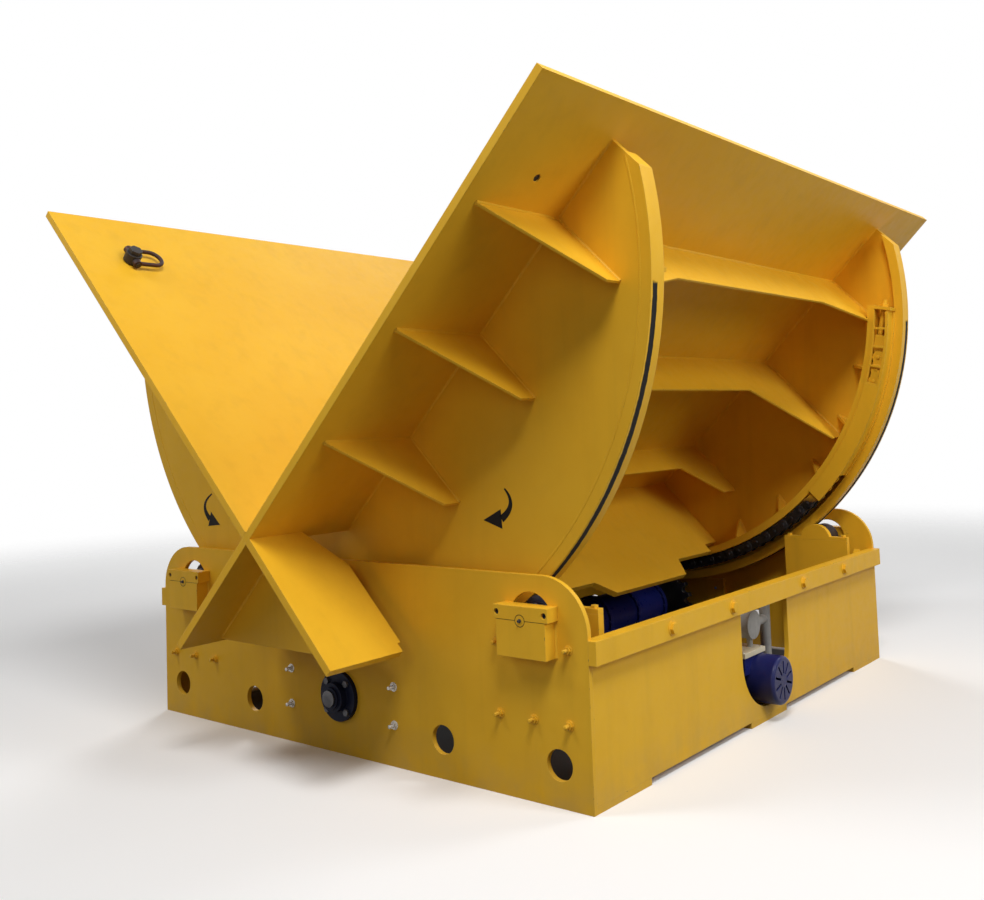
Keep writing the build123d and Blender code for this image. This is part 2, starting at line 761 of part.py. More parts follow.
# Legs past the crossing: one between the rockers and one outboard on each side
track_leg = sqrt(inside_track**2 - (table_reach + table_half) ** 2) - table_reach
shoulder_leg = leg_length - shoulder_rise
notch_leg = leg_length - notch_rise
leg_side = track_y - track_clearance
middle_leg_outline = [
    (-table_half, -rocker_inner),
    (-track_leg, -rocker_inner),
    (-track_leg, -leg_side),
    (-shoulder_leg, -leg_side),
    (-shoulder_leg, -shoulder_span),
    (-leg_length, -shoulder_span + shoulder_bevel),
    (-leg_length, notch_near - notch_near_bevel),
    (-notch_leg, notch_near),
    (-notch_leg, notch_far),
    (-leg_length, notch_far + notch_far_bevel),
    (-leg_length, shoulder_span - shoulder_bevel),
    (-shoulder_leg, shoulder_span),
    (-shoulder_leg, leg_side),
    (-track_leg, leg_side),
    (-track_leg, rocker_inner),
    (-table_half, rocker_inner),
]
leg_tip = leg_length - leg_tip_length
side_leg_outline = [
    (-table_half, -table_side),
    (-leg_length, -table_side),
    (-leg_length, -leg_inner - leg_tip_step),
    (-leg_tip, -leg_inner - leg_tip_step),
    (-leg_tip, -leg_inner),
    (-leg_neck, -leg_inner),
    (-table_half, -table_side + leg_root_width),
]
middle_leg = table_slab(middle_leg_outline, -table_half, table_half)
side_legs = on_sides(table_slab(side_leg_outline, -table_half, table_half))
save("leg_plates", *[copy for leg in (middle_leg, *side_legs) for copy in on_ends(leg)])

web_foot_x = rise * (leg_length - table_thick)
web_outline = [
    (0, crotch_height - rise * table_thick),
    (web_foot_x, crotch_height - rise * leg_length),
    (-web_foot_x, crotch_height - rise * leg_length),
]
web_y = -table_side + web_inset
save("side_webs", *on_sides(slab_xz(web_outline, web_y - web_thick / 2, web_y + web_thick / 2)))

# Rockers under the tables, edged by the rims
rocker_top = (rise * (rocker_stop + table_half), crotch_height + rise * (rocker_stop - table_half))
cut_length = rim_radius / 4
rocker_cut = (rocker_top[0] + rise * cut_length, rocker_top[1] - rise * cut_length)
rocker_outline = [
    (0, crotch_height - rise * table_thick),
    rocker_top,
    rocker_cut,
    (rocker_cut[0], 0),
    (-rocker_cut[0], 0),
    (-rocker_cut[0], rocker_cut[1]),
    (-rocker_top[0], rocker_top[1]),
]
rocker = slab_xz(rocker_outline, -rocker_outer, -rocker_inner)
rocker &= rod_y(rim_inner_radius, 0, centre_height, -rocker_outer, -rocker_inner)
rim = slab_xz(rocker_outline, -rocker_outer, -rim_inner)
rim &= rod_y(rim_radius, 0, centre_height, -rocker_outer, -rim_inner)
rim -= rod_y(rim_inner_radius, 0, centre_height, -rocker_outer, -rim_inner)
save_sides("rocker", rocker)
save_sides("rim", rim)

# Ribs outboard of the rockers and across between them
side_ribs = []
for rib in range(side_rib_count):
    outline = [
        (-table_side + rib_edge_inset, table_half),
        (-rocker_outer - rib_nose, rib_depth),
        (-rocker_outer, rib_depth),
        (-rocker_outer, table_half),
    ]
    side_ribs.extend(on_corners(table_rib(side_rib_first + rib * side_rib_step, outline)))
save("outboard_ribs", *side_ribs)

cross_ribs = []
cross_rib_sizes = (
    (low_rib_station, low_rib_depth, low_haunch_start, low_haunch_gap, 0),
    (middle_rib_station, middle_rib_depth, middle_haunch_start, middle_haunch_gap, 0),
    (top_rib_station, top_rib_depth, top_haunch_start, 0, top_haunch_drop),
)
for station, depth, start, gap, drop in cross_rib_sizes:
    end_depth = depth_at(station + rib_thick / 2, inside_track) - gap
    haunch = end_depth + drop
    middle_rib = table_rib(
        station,
        [
            (-leg_side, table_half),
            (-leg_side, haunch),
            (-start, depth),
            (start, depth),
            (leg_side, haunch),
            (leg_side, table_half),
        ],
    )
    rib_end = table_rib(
        station,
        [
            (-rocker_inner, table_half),
            (-rocker_inner, end_depth),
            (-leg_side, end_depth),
            (-leg_side, table_half),
        ],
    )
    cross_ribs.extend(on_ends(middle_rib + on_sides(rib_end)))
save("cross_ribs", *cross_ribs)

# Chain tracks: a curved plate with an inner web, gussets and an end plate for the chain's stud
end_pin = chain_half_links * link_angle
chain_end = chain_pitch / 2
shelf_along = track_inner * sin(radians(track_end_angle - end_pin)) - shelf_plate_thick
end_plane = tangent_plane(chain_radius, end_pin, -chain_y)
track = ring_slab(track_inner, track_outer, track_end_angle, -rocker_inner, -track_y)
track += ring_slab(web_radius, track_inner, track_end_angle, -track_y - track_web_thick, -track_y)
gusset_outline = [
    (-rocker_inner, centre_height - track_inner - track_thick / 2),
    (-track_y - track_web_thick / 2, centre_height - track_inner - track_thick / 2),
    (-track_y - track_web_thick / 2, centre_height - web_radius),
    (-rocker_inner, centre_height - gusset_radius),
]
gusset_face = Plane.YZ * make_face(Polyline(*gusset_outline, close=True))
track_gusset = extrude(gusset_face, amount=gusset_thick / 2, dir=(1, 0, 0), both=True)
rim_axis = Axis((0, 0, centre_height), (0, 1, 0))
for pair in range(gusset_pairs):
    for way in (-1, 1):
        track += track_gusset.rotate(rim_axis, way * (gusset_first + pair * gusset_step))
shelf_low_edge = sqrt(web_radius**2 - shelf_along**2) - chain_radius
shelf_plate = block(
    shelf_along,
    shelf_along + shelf_plate_thick,
    shelf_low_edge,
    shelf_plate_reach,
    -chain_half_width,
    chain_half_width + track_margin,
)
stud_end = shelf_along + shelf_plate_thick + stud_tail
stud_hole = rod_x(stud_radius + bolt_clearance, -stud_drop, 0, shelf_along, stud_end)
for end in on_ends(end_plane * shelf_plate):
    track += end
for end in on_ends(end_plane * stud_hole):
    track -= end
save("chain_tracks", *on_sides(track))

# Anchors that hold the chain's ends, each with a stud and nut through the track's end plate
anchor_end = chain_end + anchor_length
anchor = block(
    chain_end, anchor_end, -chain_plate_half, chain_plate_half, -chain_half_width, chain_half_width
)
anchor += rod_x(stud_radius, -stud_drop, 0, chain_end, stud_end)
nut = extrude(RegularPolygon(nut_flats / sqrt(3), 6), amount=nut_height)
anchor += Pos(shelf_along + shelf_plate_thick, -stud_drop, 0) * Rot(0, 90, 0) * nut
save("chain_anchors", *on_corners(end_plane * anchor))


def link_place(pin, along, out):
    """A point of the chain, by its pin and its place along the rim and away from its centre."""
    turn = radians(pin * link_angle)
    x, z = ring_place(chain_radius + out, pin * link_angle)
    return x + along * cos(turn), z + along * sin(turn)


# Chains: scalloped side plates on a row of rollers
shoulder = sqrt(chain_plate_half**2 - chain_waist_half**2)
pins = range(-chain_half_links, chain_half_links + 1)
chain_edges = []
for pin in pins:
    for way in (1, -1):
        start = link_place(pin, -shoulder, way * chain_waist_half)
        crown = link_place(pin, 0, way * chain_plate_half)
        finish = link_place(pin, shoulder, way * chain_waist_half)
        chain_edges.append(ThreePointArc(start, crown, finish))
        if pin < chain_half_links:
            chain_edges.append(Line(finish, link_place(pin + 1, -shoulder, way * chain_waist_half)))
for pin, way in ((-chain_half_links, -1), (chain_half_links, 1)):
    end_line = [
        link_place(pin, way * shoulder, chain_waist_half),
        link_place(pin, way * chain_end, chain_waist_half),
        link_place(pin, way * chain_end, -chain_waist_half),
        link_place(pin, way * shoulder, -chain_waist_half),
    ]
    chain_edges.extend(Line(first, second) for first, second in zip(end_line, end_line[1:]))
strip = extrude(Plane.XZ * make_face(chain_edges), amount=chain_plate_thick, dir=(0, 1, 0))
chain = Pos(0, -chain_y + chain_inner_width / 2, 0) * strip
chain += Pos(0, -chain_y - chain_half_width, 0) * strip
rollers = []
for pin in pins:
    x, z = ring_place(chain_radius, pin * link_angle)
    rollers.append(
        rod_y(chain_roller_radius, x, z, -chain_y - chain_inner_width / 2, -chain_y + chain_inner_width / 2)
    )
chain += rollers
save_sides("rack_chain", chain)

# Hoist rings: a bolt screwed into the table, a swivel on the bolt and a bail on the swivel
swivel_low = swivel_base + swivel_play
swivel_high = swivel_base + swivel_height - swivel_play
bolt_top = swivel_base + swivel_height
bolt_low = hoist_bolt_recess - table_thick
hoist_bolt = Pos(0, 0, (bolt_low + bolt_top) / 2) * Cylinder(hoist_bolt_radius, bolt_top - bolt_low)
hoist_bolt += Pos(0, 0, swivel_base / 2) * Cylinder(washer_radius, swivel_base)
hoist_hex = extrude(RegularPolygon(hoist_bolt_flats / sqrt(3), 6), amount=hoist_head)
hoist_bolt += Pos(0, 0, bolt_top) * hoist_hex
save("hoist_bolts", *on_corners(hoist_place * hoist_bolt))

bail_height = (swivel_low + swivel_high) / 2
eye_inner = swivel_radius + bail_eye_gap
eye_outer = eye_inner + bail_eye_length
eye_middle = (eye_inner + eye_outer) / 2
trunnion_end = eye_outer + trunnion_proud
swivel = Pos(0, 0, bail_height) * Cylinder(swivel_radius, swivel_high - swivel_low)
swivel += rod_x(trunnion_radius, 0, bail_height, -trunnion_end, trunnion_end)
swivel -= Pos(0, 0, bail_height) * Cylinder(hoist_bolt_radius + swivel_fit, swivel_high - swivel_low)
save_corners("hoist_swivel", hoist_place * swivel)

bow = Torus(eye_middle, bail_rod)
bow &= block(-eye_outer, eye_outer, 0, eye_outer, -bail_rod, bail_rod)
bail = Pos(0, bail_arm, bail_height) * bow
for way in (-1, 1):
    low_x = min(way * eye_inner, way * eye_outer)
    bail += rod_x(bail_eye_radius, 0, bail_height, low_x, low_x + bail_eye_length)
    bail += rod_y(bail_rod, way * eye_middle, bail_height, 0, bail_arm)
bail -= rod_x(trunnion_radius + swivel_fit, 0, bail_height, -eye_outer, eye_outer)
save_corners("hoist_bail", hoist_place * bail)
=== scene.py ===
import json
import bmesh
import bpy
import numpy as np
from mathutils import Matrix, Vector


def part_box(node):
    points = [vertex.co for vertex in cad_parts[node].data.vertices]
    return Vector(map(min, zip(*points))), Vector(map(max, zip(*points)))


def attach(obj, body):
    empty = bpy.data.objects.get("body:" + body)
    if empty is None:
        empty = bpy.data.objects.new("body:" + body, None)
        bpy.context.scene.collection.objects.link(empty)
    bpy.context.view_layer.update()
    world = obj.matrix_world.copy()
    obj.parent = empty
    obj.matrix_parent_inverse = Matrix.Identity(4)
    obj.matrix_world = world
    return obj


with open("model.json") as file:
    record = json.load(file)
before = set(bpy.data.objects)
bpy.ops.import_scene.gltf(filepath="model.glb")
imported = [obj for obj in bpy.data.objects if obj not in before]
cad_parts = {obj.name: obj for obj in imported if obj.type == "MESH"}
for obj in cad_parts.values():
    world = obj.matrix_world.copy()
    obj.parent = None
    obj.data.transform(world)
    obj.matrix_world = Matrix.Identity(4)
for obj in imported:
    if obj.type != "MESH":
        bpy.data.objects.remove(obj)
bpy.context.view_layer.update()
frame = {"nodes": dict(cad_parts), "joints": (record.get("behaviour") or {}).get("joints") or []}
nodes = frame["nodes"]
scene = bpy.context.scene
scene.view_settings.view_transform = "Standard"
print("frame loaded:", len(nodes), "nodes")


def nodeFaces(name, axis):
    # a node's lowest and highest coordinates along an axis, to the micrometre
    return [round(corner["xyz".index(axis)], 6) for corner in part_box(name)]


jointPlace = {joint["name"]: joint["pos_m"] for joint in frame["joints"]}
rimCentre = jointPlace["cradle_tilt"][2]  # height of the rims' axis
shaftZ = jointPlace["drive_spin"][2]
motorZ = sum(nodeFaces("fan_cowl", "z")) / 2
# the right and far sides, which the others mirror
axleX, _, axleZ = jointPlace["roller_spin_far_right"]
blockLow = nodeFaces("axle_blocks", "z")[0]
blockFace = nodeFaces("axle_blocks", "y")[1]
rockerInner, rockerOuter = nodeFaces("rocker_far", "y")
sideInner, sideOuter = nodeFaces("side_plate_far", "y")
endInner = nodeFaces("end_plate_right", "x")[0]
railFace = nodeFaces("end_rails", "x")[1]
tableSide = nodeFaces("table_left", "y")[1]
crotch = nodeFaces("table_left", "z")[0]  # where the tables' mid planes cross
tableHalf = 0.019  # half a table's thickness


def stand(name, data, side, top, back, place):
    # an object for a camera or lamp; its three axes and its place are the matrix's columns
    turn = np.eye(4)
    turn[:3, :4] = np.column_stack([side, top, back, place])
    holder = bpy.data.objects.new(name, data)
    holder.matrix_world = Matrix(turn.tolist())
    scene.collection.objects.link(holder)
    return holder


# camera, fitted to the plate edges and the rim arcs
cameraLook = {
    "place": (3.996, -5.177, 1.606),  # metres
    "yaw": 38.865,  # degrees
    "pitch": 3.226,
    "roll": -2.045,
    "focal": 1050.56,  # pixels
    "centre": (507.67, 361.65),  # where the lens axis meets the image
    "image": (984, 900),
    "sensor": 36.0,  # millimetres
    "farClip": 200.0,
}


def addCamera(look):
    # three unit vectors: ahead from yaw and pitch, right level with the floor, both rolled
    yaw, pitch, roll = np.radians([look["yaw"], look["pitch"], look["roll"]])
    ahead = np.array([-np.sin(yaw) * np.cos(pitch), np.cos(yaw) * np.cos(pitch), np.sin(pitch)])
    right = np.array([np.cos(yaw), np.sin(yaw), 0.0])
    up = np.cross(right, ahead)
    side = right * np.cos(roll) + up * np.sin(roll)
    top = up * np.cos(roll) - right * np.sin(roll)
    lens = bpy.data.cameras.new("photoCamera")
    lens.sensor_fit = "HORIZONTAL"
    lens.sensor_width = look["sensor"]
    width, height = look["image"]
    lens.lens = look["focal"] * look["sensor"] / width
    lens.shift_x = (width / 2 - look["centre"][0]) / width
    lens.shift_y = (look["centre"][1] - height / 2) / width
    lens.clip_end = look["farClip"]
    scene.camera = stand("photoCamera", lens, side, top, -ahead, look["place"])


addCamera(cameraLook)
print("camera placed")


# small helpers for shader nodes
def addNode(tree, kind, values=None, **traits):
    node = tree.nodes.new("ShaderNode" + kind)
    for trait, value in traits.items():
        setattr(node, trait, value)
    for socket, value in (values or {}).items():
        feed(tree, node.inputs[socket], value)
    return node


def feed(tree, socket, value):
    # a socket is linked, a plain value is set
    if isinstance(value, bpy.types.NodeSocket):
        tree.links.new(value, socket)
    elif isinstance(value, tuple) and len(value) == 3 and socket.type == "RGBA":
        socket.default_value = (*value, 1.0)
    else:
        socket.default_value = value


def emptyTree(owner):
    owner.use_nodes = True
    owner.node_tree.nodes.clear()
    return owner.node_tree


def startMaterial(name):
    material = bpy.data.materials.new(name)
    tree = emptyTree(material)
    shader = addNode(tree, "BsdfPrincipled")
    output = addNode(tree, "OutputMaterial")
    tree.links.new(shader.outputs["BSDF"], output.inputs["Surface"])
    return material, tree, shader


def objectPlace(tree, scale=None, turn=(0.0, 0.0, 0.0)):
    place = addNode(tree, "TexCoord").outputs["Object"]
    if scale is None:
        return place
    return addNode(tree, "Mapping", {"Vector": place, "Rotation": turn, "Scale": scale}).outputs["Vector"]


def cloud(tree, place, scale, detail=3.0, rough=0.55):
    values = {"Vector": place, "Scale": scale, "Detail": detail, "Roughness": rough}
    return addNode(tree, "TexNoise", values).outputs["Fac"]


def stretch(tree, value, low, high, outLow=0.0, outHigh=1.0):
    limits = {"Value": value, "From Min": low, "From Max": high, "To Min": outLow, "To Max": outHigh}
    return addNode(tree, "MapRange", limits).outputs["Result"]


def figure(tree, operation, first, second=0.0):
    return addNode(tree, "Math", {0: first, 1: second}, operation=operation).outputs["Value"]


mixSockets = {"RGBA": (6, 7, 2), "FLOAT": (2, 3, 0), "VECTOR": (4, 5, 1)}  # both inputs and the output


def blend(tree, share, first, second, kind="RGBA"):
    low, high, result = mixSockets[kind]
    return addNode(tree, "Mix", {0: share, low: first, high: second}, data_type=kind).outputs[result]


def bumped(tree, height, strength, depth, normal):
    values = {"Height": height, "Strength": strength, "Distance": depth, "Normal": normal}
    return addNode(tree, "Bump", values).outputs["Normal"]


def axisOf(tree, place, axis):
    return addNode(tree, "SeparateXYZ", {0: place}).outputs[axis]


edgeLook = {"samples": 4, "flat": 0.995, "turned": 0.86}  # cosines between the rounded and the flat normal


def roundedEdge(tree, radius):
    # the mask is 1 where a rounded edge's normal leaves the flat one
    rounded = addNode(tree, "Bevel", {"Radius": radius}, samples=edgeLook["samples"]).outputs["Normal"]
    plain = addNode(tree, "NewGeometry").outputs["Normal"]
    facing = addNode(tree, "VectorMath", {0: rounded, 1: plain}, operation="DOT_PRODUCT")
    return rounded, stretch(tree, facing.outputs["Value"], edgeLook["flat"], edgeLook["turned"])


# sprayed enamel on plate: patches, faint runs, floor dust, chipped edges and orange peel; the lighter edges
# are partly wear and partly a painted highlight
sprayedCoat = {
    "patchRange": (0.36, 0.64),  # a range is where a noise starts to show and where it shows in full
    "mottleRange": (0.46, 0.76),
    "runScale": (9.0, 9.0, 0.6),
    "runRange": (0.52, 0.80),
    "dustScale": 6.0,
    "dustRange": (0.3, 0.7),
    "dustRough": 0.75,
    "nickRange": (0.62, 0.66),
    "scuffScale": (3.0, 90.0, 3.0),
    "scuffTurn": (0.3, 0.5, 0.9),
    "scuffRange": (0.70, 0.78),
    "glossScale": 22.0,
    "glossRange": (0.3, 0.7),
    "glossSpread": (-0.07, 0.10),
    "waveScale": 2.6,
    "waveDepth": 0.05,
    "peelDepth": 0.0006,
    "chipRough": 0.62,
    "chipStep": 0.4,
    "chipDepth": 0.0006,
}


def enamelLayers(tree, look):
    place = objectPlace(tree)
    patch = stretch(tree, cloud(tree, place, look["patchScale"]), *look["patchRange"])
    mottle = cloud(tree, place, look["mottleScale"], 6.0, 0.62)
    mottle = stretch(tree, mottle, *look["mottleRange"], 0.0, look["mottle"])
    runs = cloud(tree, objectPlace(tree, look["runScale"]), 1.0, 4.0)
    runs = stretch(tree, runs, *look["runRange"], 0.0, look["runs"])
    dust = stretch(tree, axisOf(tree, place, "Z"), 0.0, look["dustTop"], look["dust"], 0.0)
    ragged = stretch(tree, cloud(tree, place, look["dustScale"], 5.0), *look["dustRange"])
    dust = figure(tree, "MULTIPLY", dust, ragged)
    rounded, edge = roundedEdge(tree, look["edgeRadius"])
    wornAndHighlitEdges = figure(tree, "MULTIPLY", edge, look["edgeWearAndHighlight"])
    scuffs = cloud(tree, objectPlace(tree, look["scuffScale"], look["scuffTurn"]), 1.0, 3.0)
    scuffs = stretch(tree, scuffs, *look["scuffRange"], 0.0, look["scuffs"])
    nicks = stretch(tree, cloud(tree, place, look["nickScale"], 5.0, 0.6), *look["nickRange"])
    chips = figure(tree, "MULTIPLY", nicks, edge)
    # each mask lays its colour over the ones before
    colour = blend(tree, patch, look["colour"], look["faded"])
    colour = blend(tree, mottle, colour, look["shade"])
    colour = blend(tree, runs, colour, look["grime"])
    colour = blend(tree, dust, colour, look["dustColour"])
    # edges and scuffs turn lighter: the scuffs are wear, the edges partly wear and partly a painted
    # highlight
    for mask in (wornAndHighlitEdges, scuffs):
        colour = blend(tree, mask, colour, look["wearAndHighlightColour"])
    colour = blend(tree, chips, colour, look["bare"])
    gloss = [look["gloss"] + change for change in look["glossSpread"]]
    rough = stretch(tree, cloud(tree, place, look["glossScale"], 5.0), *look["glossRange"], *gloss)
    rough = blend(tree, chips, rough, look["chipRough"], "FLOAT")
    rough = blend(tree, dust, rough, look["dustRough"], "FLOAT")
    wave = cloud(tree, place, look["waveScale"], 2.0)
    normal = bumped(tree, wave, look["wave"], look["waveDepth"], rounded)
    peel = cloud(tree, place, look["peelScale"], 2.0)
    normal = bumped(tree, peel, look["peel"], look["peelDepth"], normal)
    coat = figure(tree, "SUBTRACT", 1.0, chips)
    normal = bumped(tree, coat, look["chipStep"], look["chipDepth"], normal)
    return {"place": place, "colour": colour, "rough": rough, "normal": normal}


# bare or oiled metal: tool grooves, stains and rubbed edges
toolMarks = {
    "grooveRange": (0.45, 0.75),
    "grooveDepth": 0.0008,
    "stainRange": (0.44, 0.64),
    "roughRange": (0.3, 0.7),
    "roughSpread": (-0.08, 0.12),
    "grainDepth": 0.0010,
}


def metalLayers(tree, look):
    place = objectPlace(tree)
    grooves = cloud(tree, objectPlace(tree, look["grooves"]), 1.0, 5.0, 0.7)
    shade = stretch(tree, grooves, *look["grooveRange"], 0.0, look["grooveShade"])
    colour = blend(tree, shade, look["colour"], look["stain"])
    stain = cloud(tree, place, look["stainScale"], 6.0, 0.62)
    stain = stretch(tree, stain, *look["stainRange"], 0.0, look["stainShare"])
    colour = blend(tree, stain, colour, look["stain"])
    rounded, edge = roundedEdge(tree, look["edgeRadius"])
    colour = blend(tree, figure(tree, "MULTIPLY", edge, look["rubShare"]), colour, look["rub"])
    rough = [look["rough"] + change for change in look["roughSpread"]]
    rough = stretch(tree, grooves, *look["roughRange"], *rough)
    rough = blend(tree, stain, rough, look["stainRough"], "FLOAT")
    metal = stretch(tree, stain, 0.0, 1.0, look["metal"], look["stainMetal"])
    normal = bumped(tree, grooves, look["groove"], look["grooveDepth"], rounded)
    grain = cloud(tree, place, look["grainScale"], 3.0)
    normal = bumped(tree, grain, look["grain"], look["grainDepth"], normal)
    return {"place": place, "colour": colour, "rough": rough, "metal": metal, "normal": normal}


layerSockets = {"colour": "Base Color", "rough": "Roughness", "metal": "Metallic", "normal": "Normal"}


def fillShader(tree, shader, layers, specular):
    for layer, socket in layerSockets.items():
        if layer in layers:
            feed(tree, shader.inputs[socket], layers[layer])
    shader.inputs["Specular IOR Level"].default_value = specular


def enamel(name, look):
    material, tree, shader = startMaterial(name)
    fillShader(tree, shader, enamelLayers(tree, look), look["specular"])
    return material


def bareMetal(name, look):
    material, tree, shader = startMaterial(name)
    fillShader(tree, shader, metalLayers(tree, look), look["specular"])
    return material


def partBare(name, paintLook, metalLook, chooser, chooserLook):
    # the chooser gives a mask, 0 on paint and 1 on metal
    material, tree, shader = startMaterial(name)
    paint = enamelLayers(tree, paintLook)
    metal = metalLayers(tree, metalLook)
    mask = chooser(tree, paint["place"], chooserLook)
    layers = {
        "colour": blend(tree, mask, paint["colour"], metal["colour"]),
        "rough": blend(tree, mask, paint["rough"], metal["rough"], "FLOAT"),
        "metal": figure(tree, "MULTIPLY", mask, metal["metal"]),
        "normal": blend(tree, mask, paint["normal"], metal["normal"], "VECTOR"),
    }
    fillShader(tree, shader, layers, paintLook["specular"])
    return material


orangeLook = {
    **sprayedCoat,
    "colour": (0.85, 0.466, 0.022),
    "faded": (0.88, 0.502, 0.030),
    "shade": (0.73, 0.358, 0.014),
    "grime": (0.26, 0.120, 0.020),
    "bare": (0.12, 0.090, 0.070),
    "dustColour": (0.42, 0.310, 0.170),
    "dust": 0.35,
    "dustTop": 0.22,
    # a lighter colour for scuffs and for edges, where it is partly a painted highlight
    "wearAndHighlightColour": (0.93, 0.590, 0.100),
    "edgeWearAndHighlight": 0.45,
    "edgeRadius": 0.004,
    "patchScale": 0.9,
    "mottleScale": 7.0,
    "mottle": 0.20,
    "runs": 0.10,
    "nickScale": 38.0,
    "scuffs": 0.10,
    "gloss": 0.42,
    "peelScale": 380.0,
    "peel": 0.10,
    "wave": 0.04,
    "specular": 0.16,
}
blueLook = {
    **orangeLook,
    "colour": (0.008, 0.012, 0.110),
    "faded": (0.011, 0.017, 0.140),
    "shade": (0.005, 0.007, 0.050),
    "grime": (0.010, 0.010, 0.016),
    "bare": (0.10, 0.095, 0.090),
    "dust": 0.20,
    "wearAndHighlightColour": (0.04, 0.055, 0.240),
    "patchScale": 3.0,
    "mottleScale": 14.0,
    "gloss": 0.32,
    "peel": 0.16,
    "scuffs": 0.04,
    "specular": 0.20,
}
motorLook = {
    **blueLook,
    "colour": (0.006, 0.009, 0.075),
    "faded": (0.010, 0.014, 0.110),
    "mottle": 0.75,
    "dust": 0.14,
    "dustTop": 0.40,
    "dustColour": (0.16, 0.155, 0.150),
    "scuffs": 0.16,
}
creamLook = {
    **orangeLook,
    "colour": (0.70, 0.62, 0.43),
    "faded": (0.75, 0.68, 0.51),
    "shade": (0.56, 0.48, 0.31),
    "grime": (0.25, 0.20, 0.13),
    "wearAndHighlightColour": (0.85, 0.80, 0.66),
    "patchScale": 3.5,
    "mottleScale": 18.0,
}
greyLook = {
    **orangeLook,
    "colour": (0.36, 0.355, 0.33),
    "faded": (0.46, 0.45, 0.42),
    "shade": (0.17, 0.165, 0.15),
    "grime": (0.09, 0.085, 0.075),
    "wearAndHighlightColour": (0.60, 0.59, 0.56),
    "patchScale": 4.0,
    "mottleScale": 20.0,
    "mottle": 0.55,
    "runs": 0.35,
}
# black paint for the arrows, also laid as painted shade in the axle gaps and along the cap seams
markAndShadeLook = {
    **orangeLook,
    "colour": (0.010, 0.009, 0.009),
    "faded": (0.016, 0.014, 0.013),
    "shade": (0.006, 0.006, 0.006),
    "grime": (0.030, 0.020, 0.012),
    "bare": (0.60, 0.330, 0.040),
    "wearAndHighlightColour": (0.03, 0.024, 0.014),
    "mottleScale": 30.0,
    "gloss": 0.60,
    "specular": 0.08,
}

steelLook = {
    **toolMarks,
    "colour": (0.30, 0.29, 0.28),
    "stain": (0.15, 0.13, 0.11),
    "rub": (0.42, 0.41, 0.40),
    "rubShare": 0.5,
    "edgeRadius": 0.002,
    "grooves": (2.0, 240.0, 2.0),  # turned pieces all turn about Y here
    "groove": 0.14,
    "grooveShade": 0.35,
    "stainScale": 11.0,
    "stainShare": 0.5,
    "rough": 0.34,
    "stainRough": 0.45,
    "metal": 1.0,
    "stainMetal": 0.8,
    "grainScale": 200.0,
    "grain": 0.04,
    "specular": 0.5,
}
shaftLook = {**steelLook, "colour": (0.10, 0.10, 0.105), "stain": (0.03, 0.03, 0.035), "stainShare": 0.7}
rollerLook = {**steelLook, "colour": (0.08, 0.09, 0.14), "stain": (0.025, 0.028, 0.05), "stainShare": 0.7}
bronzeLook = {**steelLook, "colour": (0.55, 0.35, 0.14), "stain": (0.25, 0.15, 0.06), "rough": 0.40}
zincLook = {
    **steelLook,
    "colour": (0.56, 0.55, 0.52),
    "stain": (0.34, 0.31, 0.26),
    "rub": (0.70, 0.69, 0.67),
    "grooves": (60.0, 60.0, 60.0),
    "grooveShade": 0.2,
    "metal": 0.7,
}
ironLook = {
    **steelLook,
    "colour": (0.028, 0.028, 0.030),
    "stain": (0.060, 0.040, 0.028),
    "rub": (0.11, 0.105, 0.100),
    "rubShare": 0.8,
    "edgeRadius": 0.003,
    "grooves": (90.0, 90.0, 90.0),
    "grooveShade": 0.2,
    "stainScale": 16.0,
    "stainShare": 0.35,
    "rough": 0.46,
    "stainRough": 0.62,
    "metal": 0.4,
    "stainMetal": 0.1,
    "grainScale": 260.0,
    "grain": 0.25,
    "specular": 0.3,
}
bearingLook = {
    **ironLook,
    "colour": (0.006, 0.008, 0.022),
    "stain": (0.004, 0.004, 0.008),
    "rub": (0.03, 0.036, 0.07),
    "metal": 0.0,
    "stainMetal": 0.0,
    "specular": 0.12,
}
bailLook = {**ironLook, "colour": (0.060, 0.022, 0.014), "stain": (0.016, 0.014, 0.018), "stainShare": 0.8}
boltLook = {**ironLook, "colour": (0.10, 0.10, 0.11), "stain": (0.04, 0.035, 0.035), "metal": 0.7}
greaseLook = {
    **ironLook,
    "colour": (0.040, 0.038, 0.042),
    "stain": (0.012, 0.011, 0.014),
    "rub": (0.15, 0.145, 0.145),
    "stainScale": 34.0,
    "stainShare": 1.0,
    "rough": 0.50,
    "stainRough": 0.24,
    "metal": 0.8,
    "grain": 0.15,
}
treadLook = {
    **ironLook,
    "colour": (0.010, 0.009, 0.009),
    "stain": (0.005, 0.005, 0.005),
    "grooves": (1.2, 160.0, 1.2),
    "groove": 0.10,
    "grooveShade": 0.5,
    "stainScale": 7.0,
    "rough": 0.80,
    "stainRough": 0.80,
    "metal": 0.0,
    "stainMetal": 0.0,
    "rubShare": 0.0,
}

# the rims wear a dark band where they run on the rollers
bandLook = {
    "radius": 1.826,  # the band lies outside this radius
    "inner": 1.500,  # distances from the middle of the machine
    "outer": 1.539,
    "top": 2.15,  # the band starts below this height
    "raggedScale": 30.0,
    "ragged": 0.010,
    "fade": {"radius": 0.001, "side": 0.002, "top": 0.012},
}


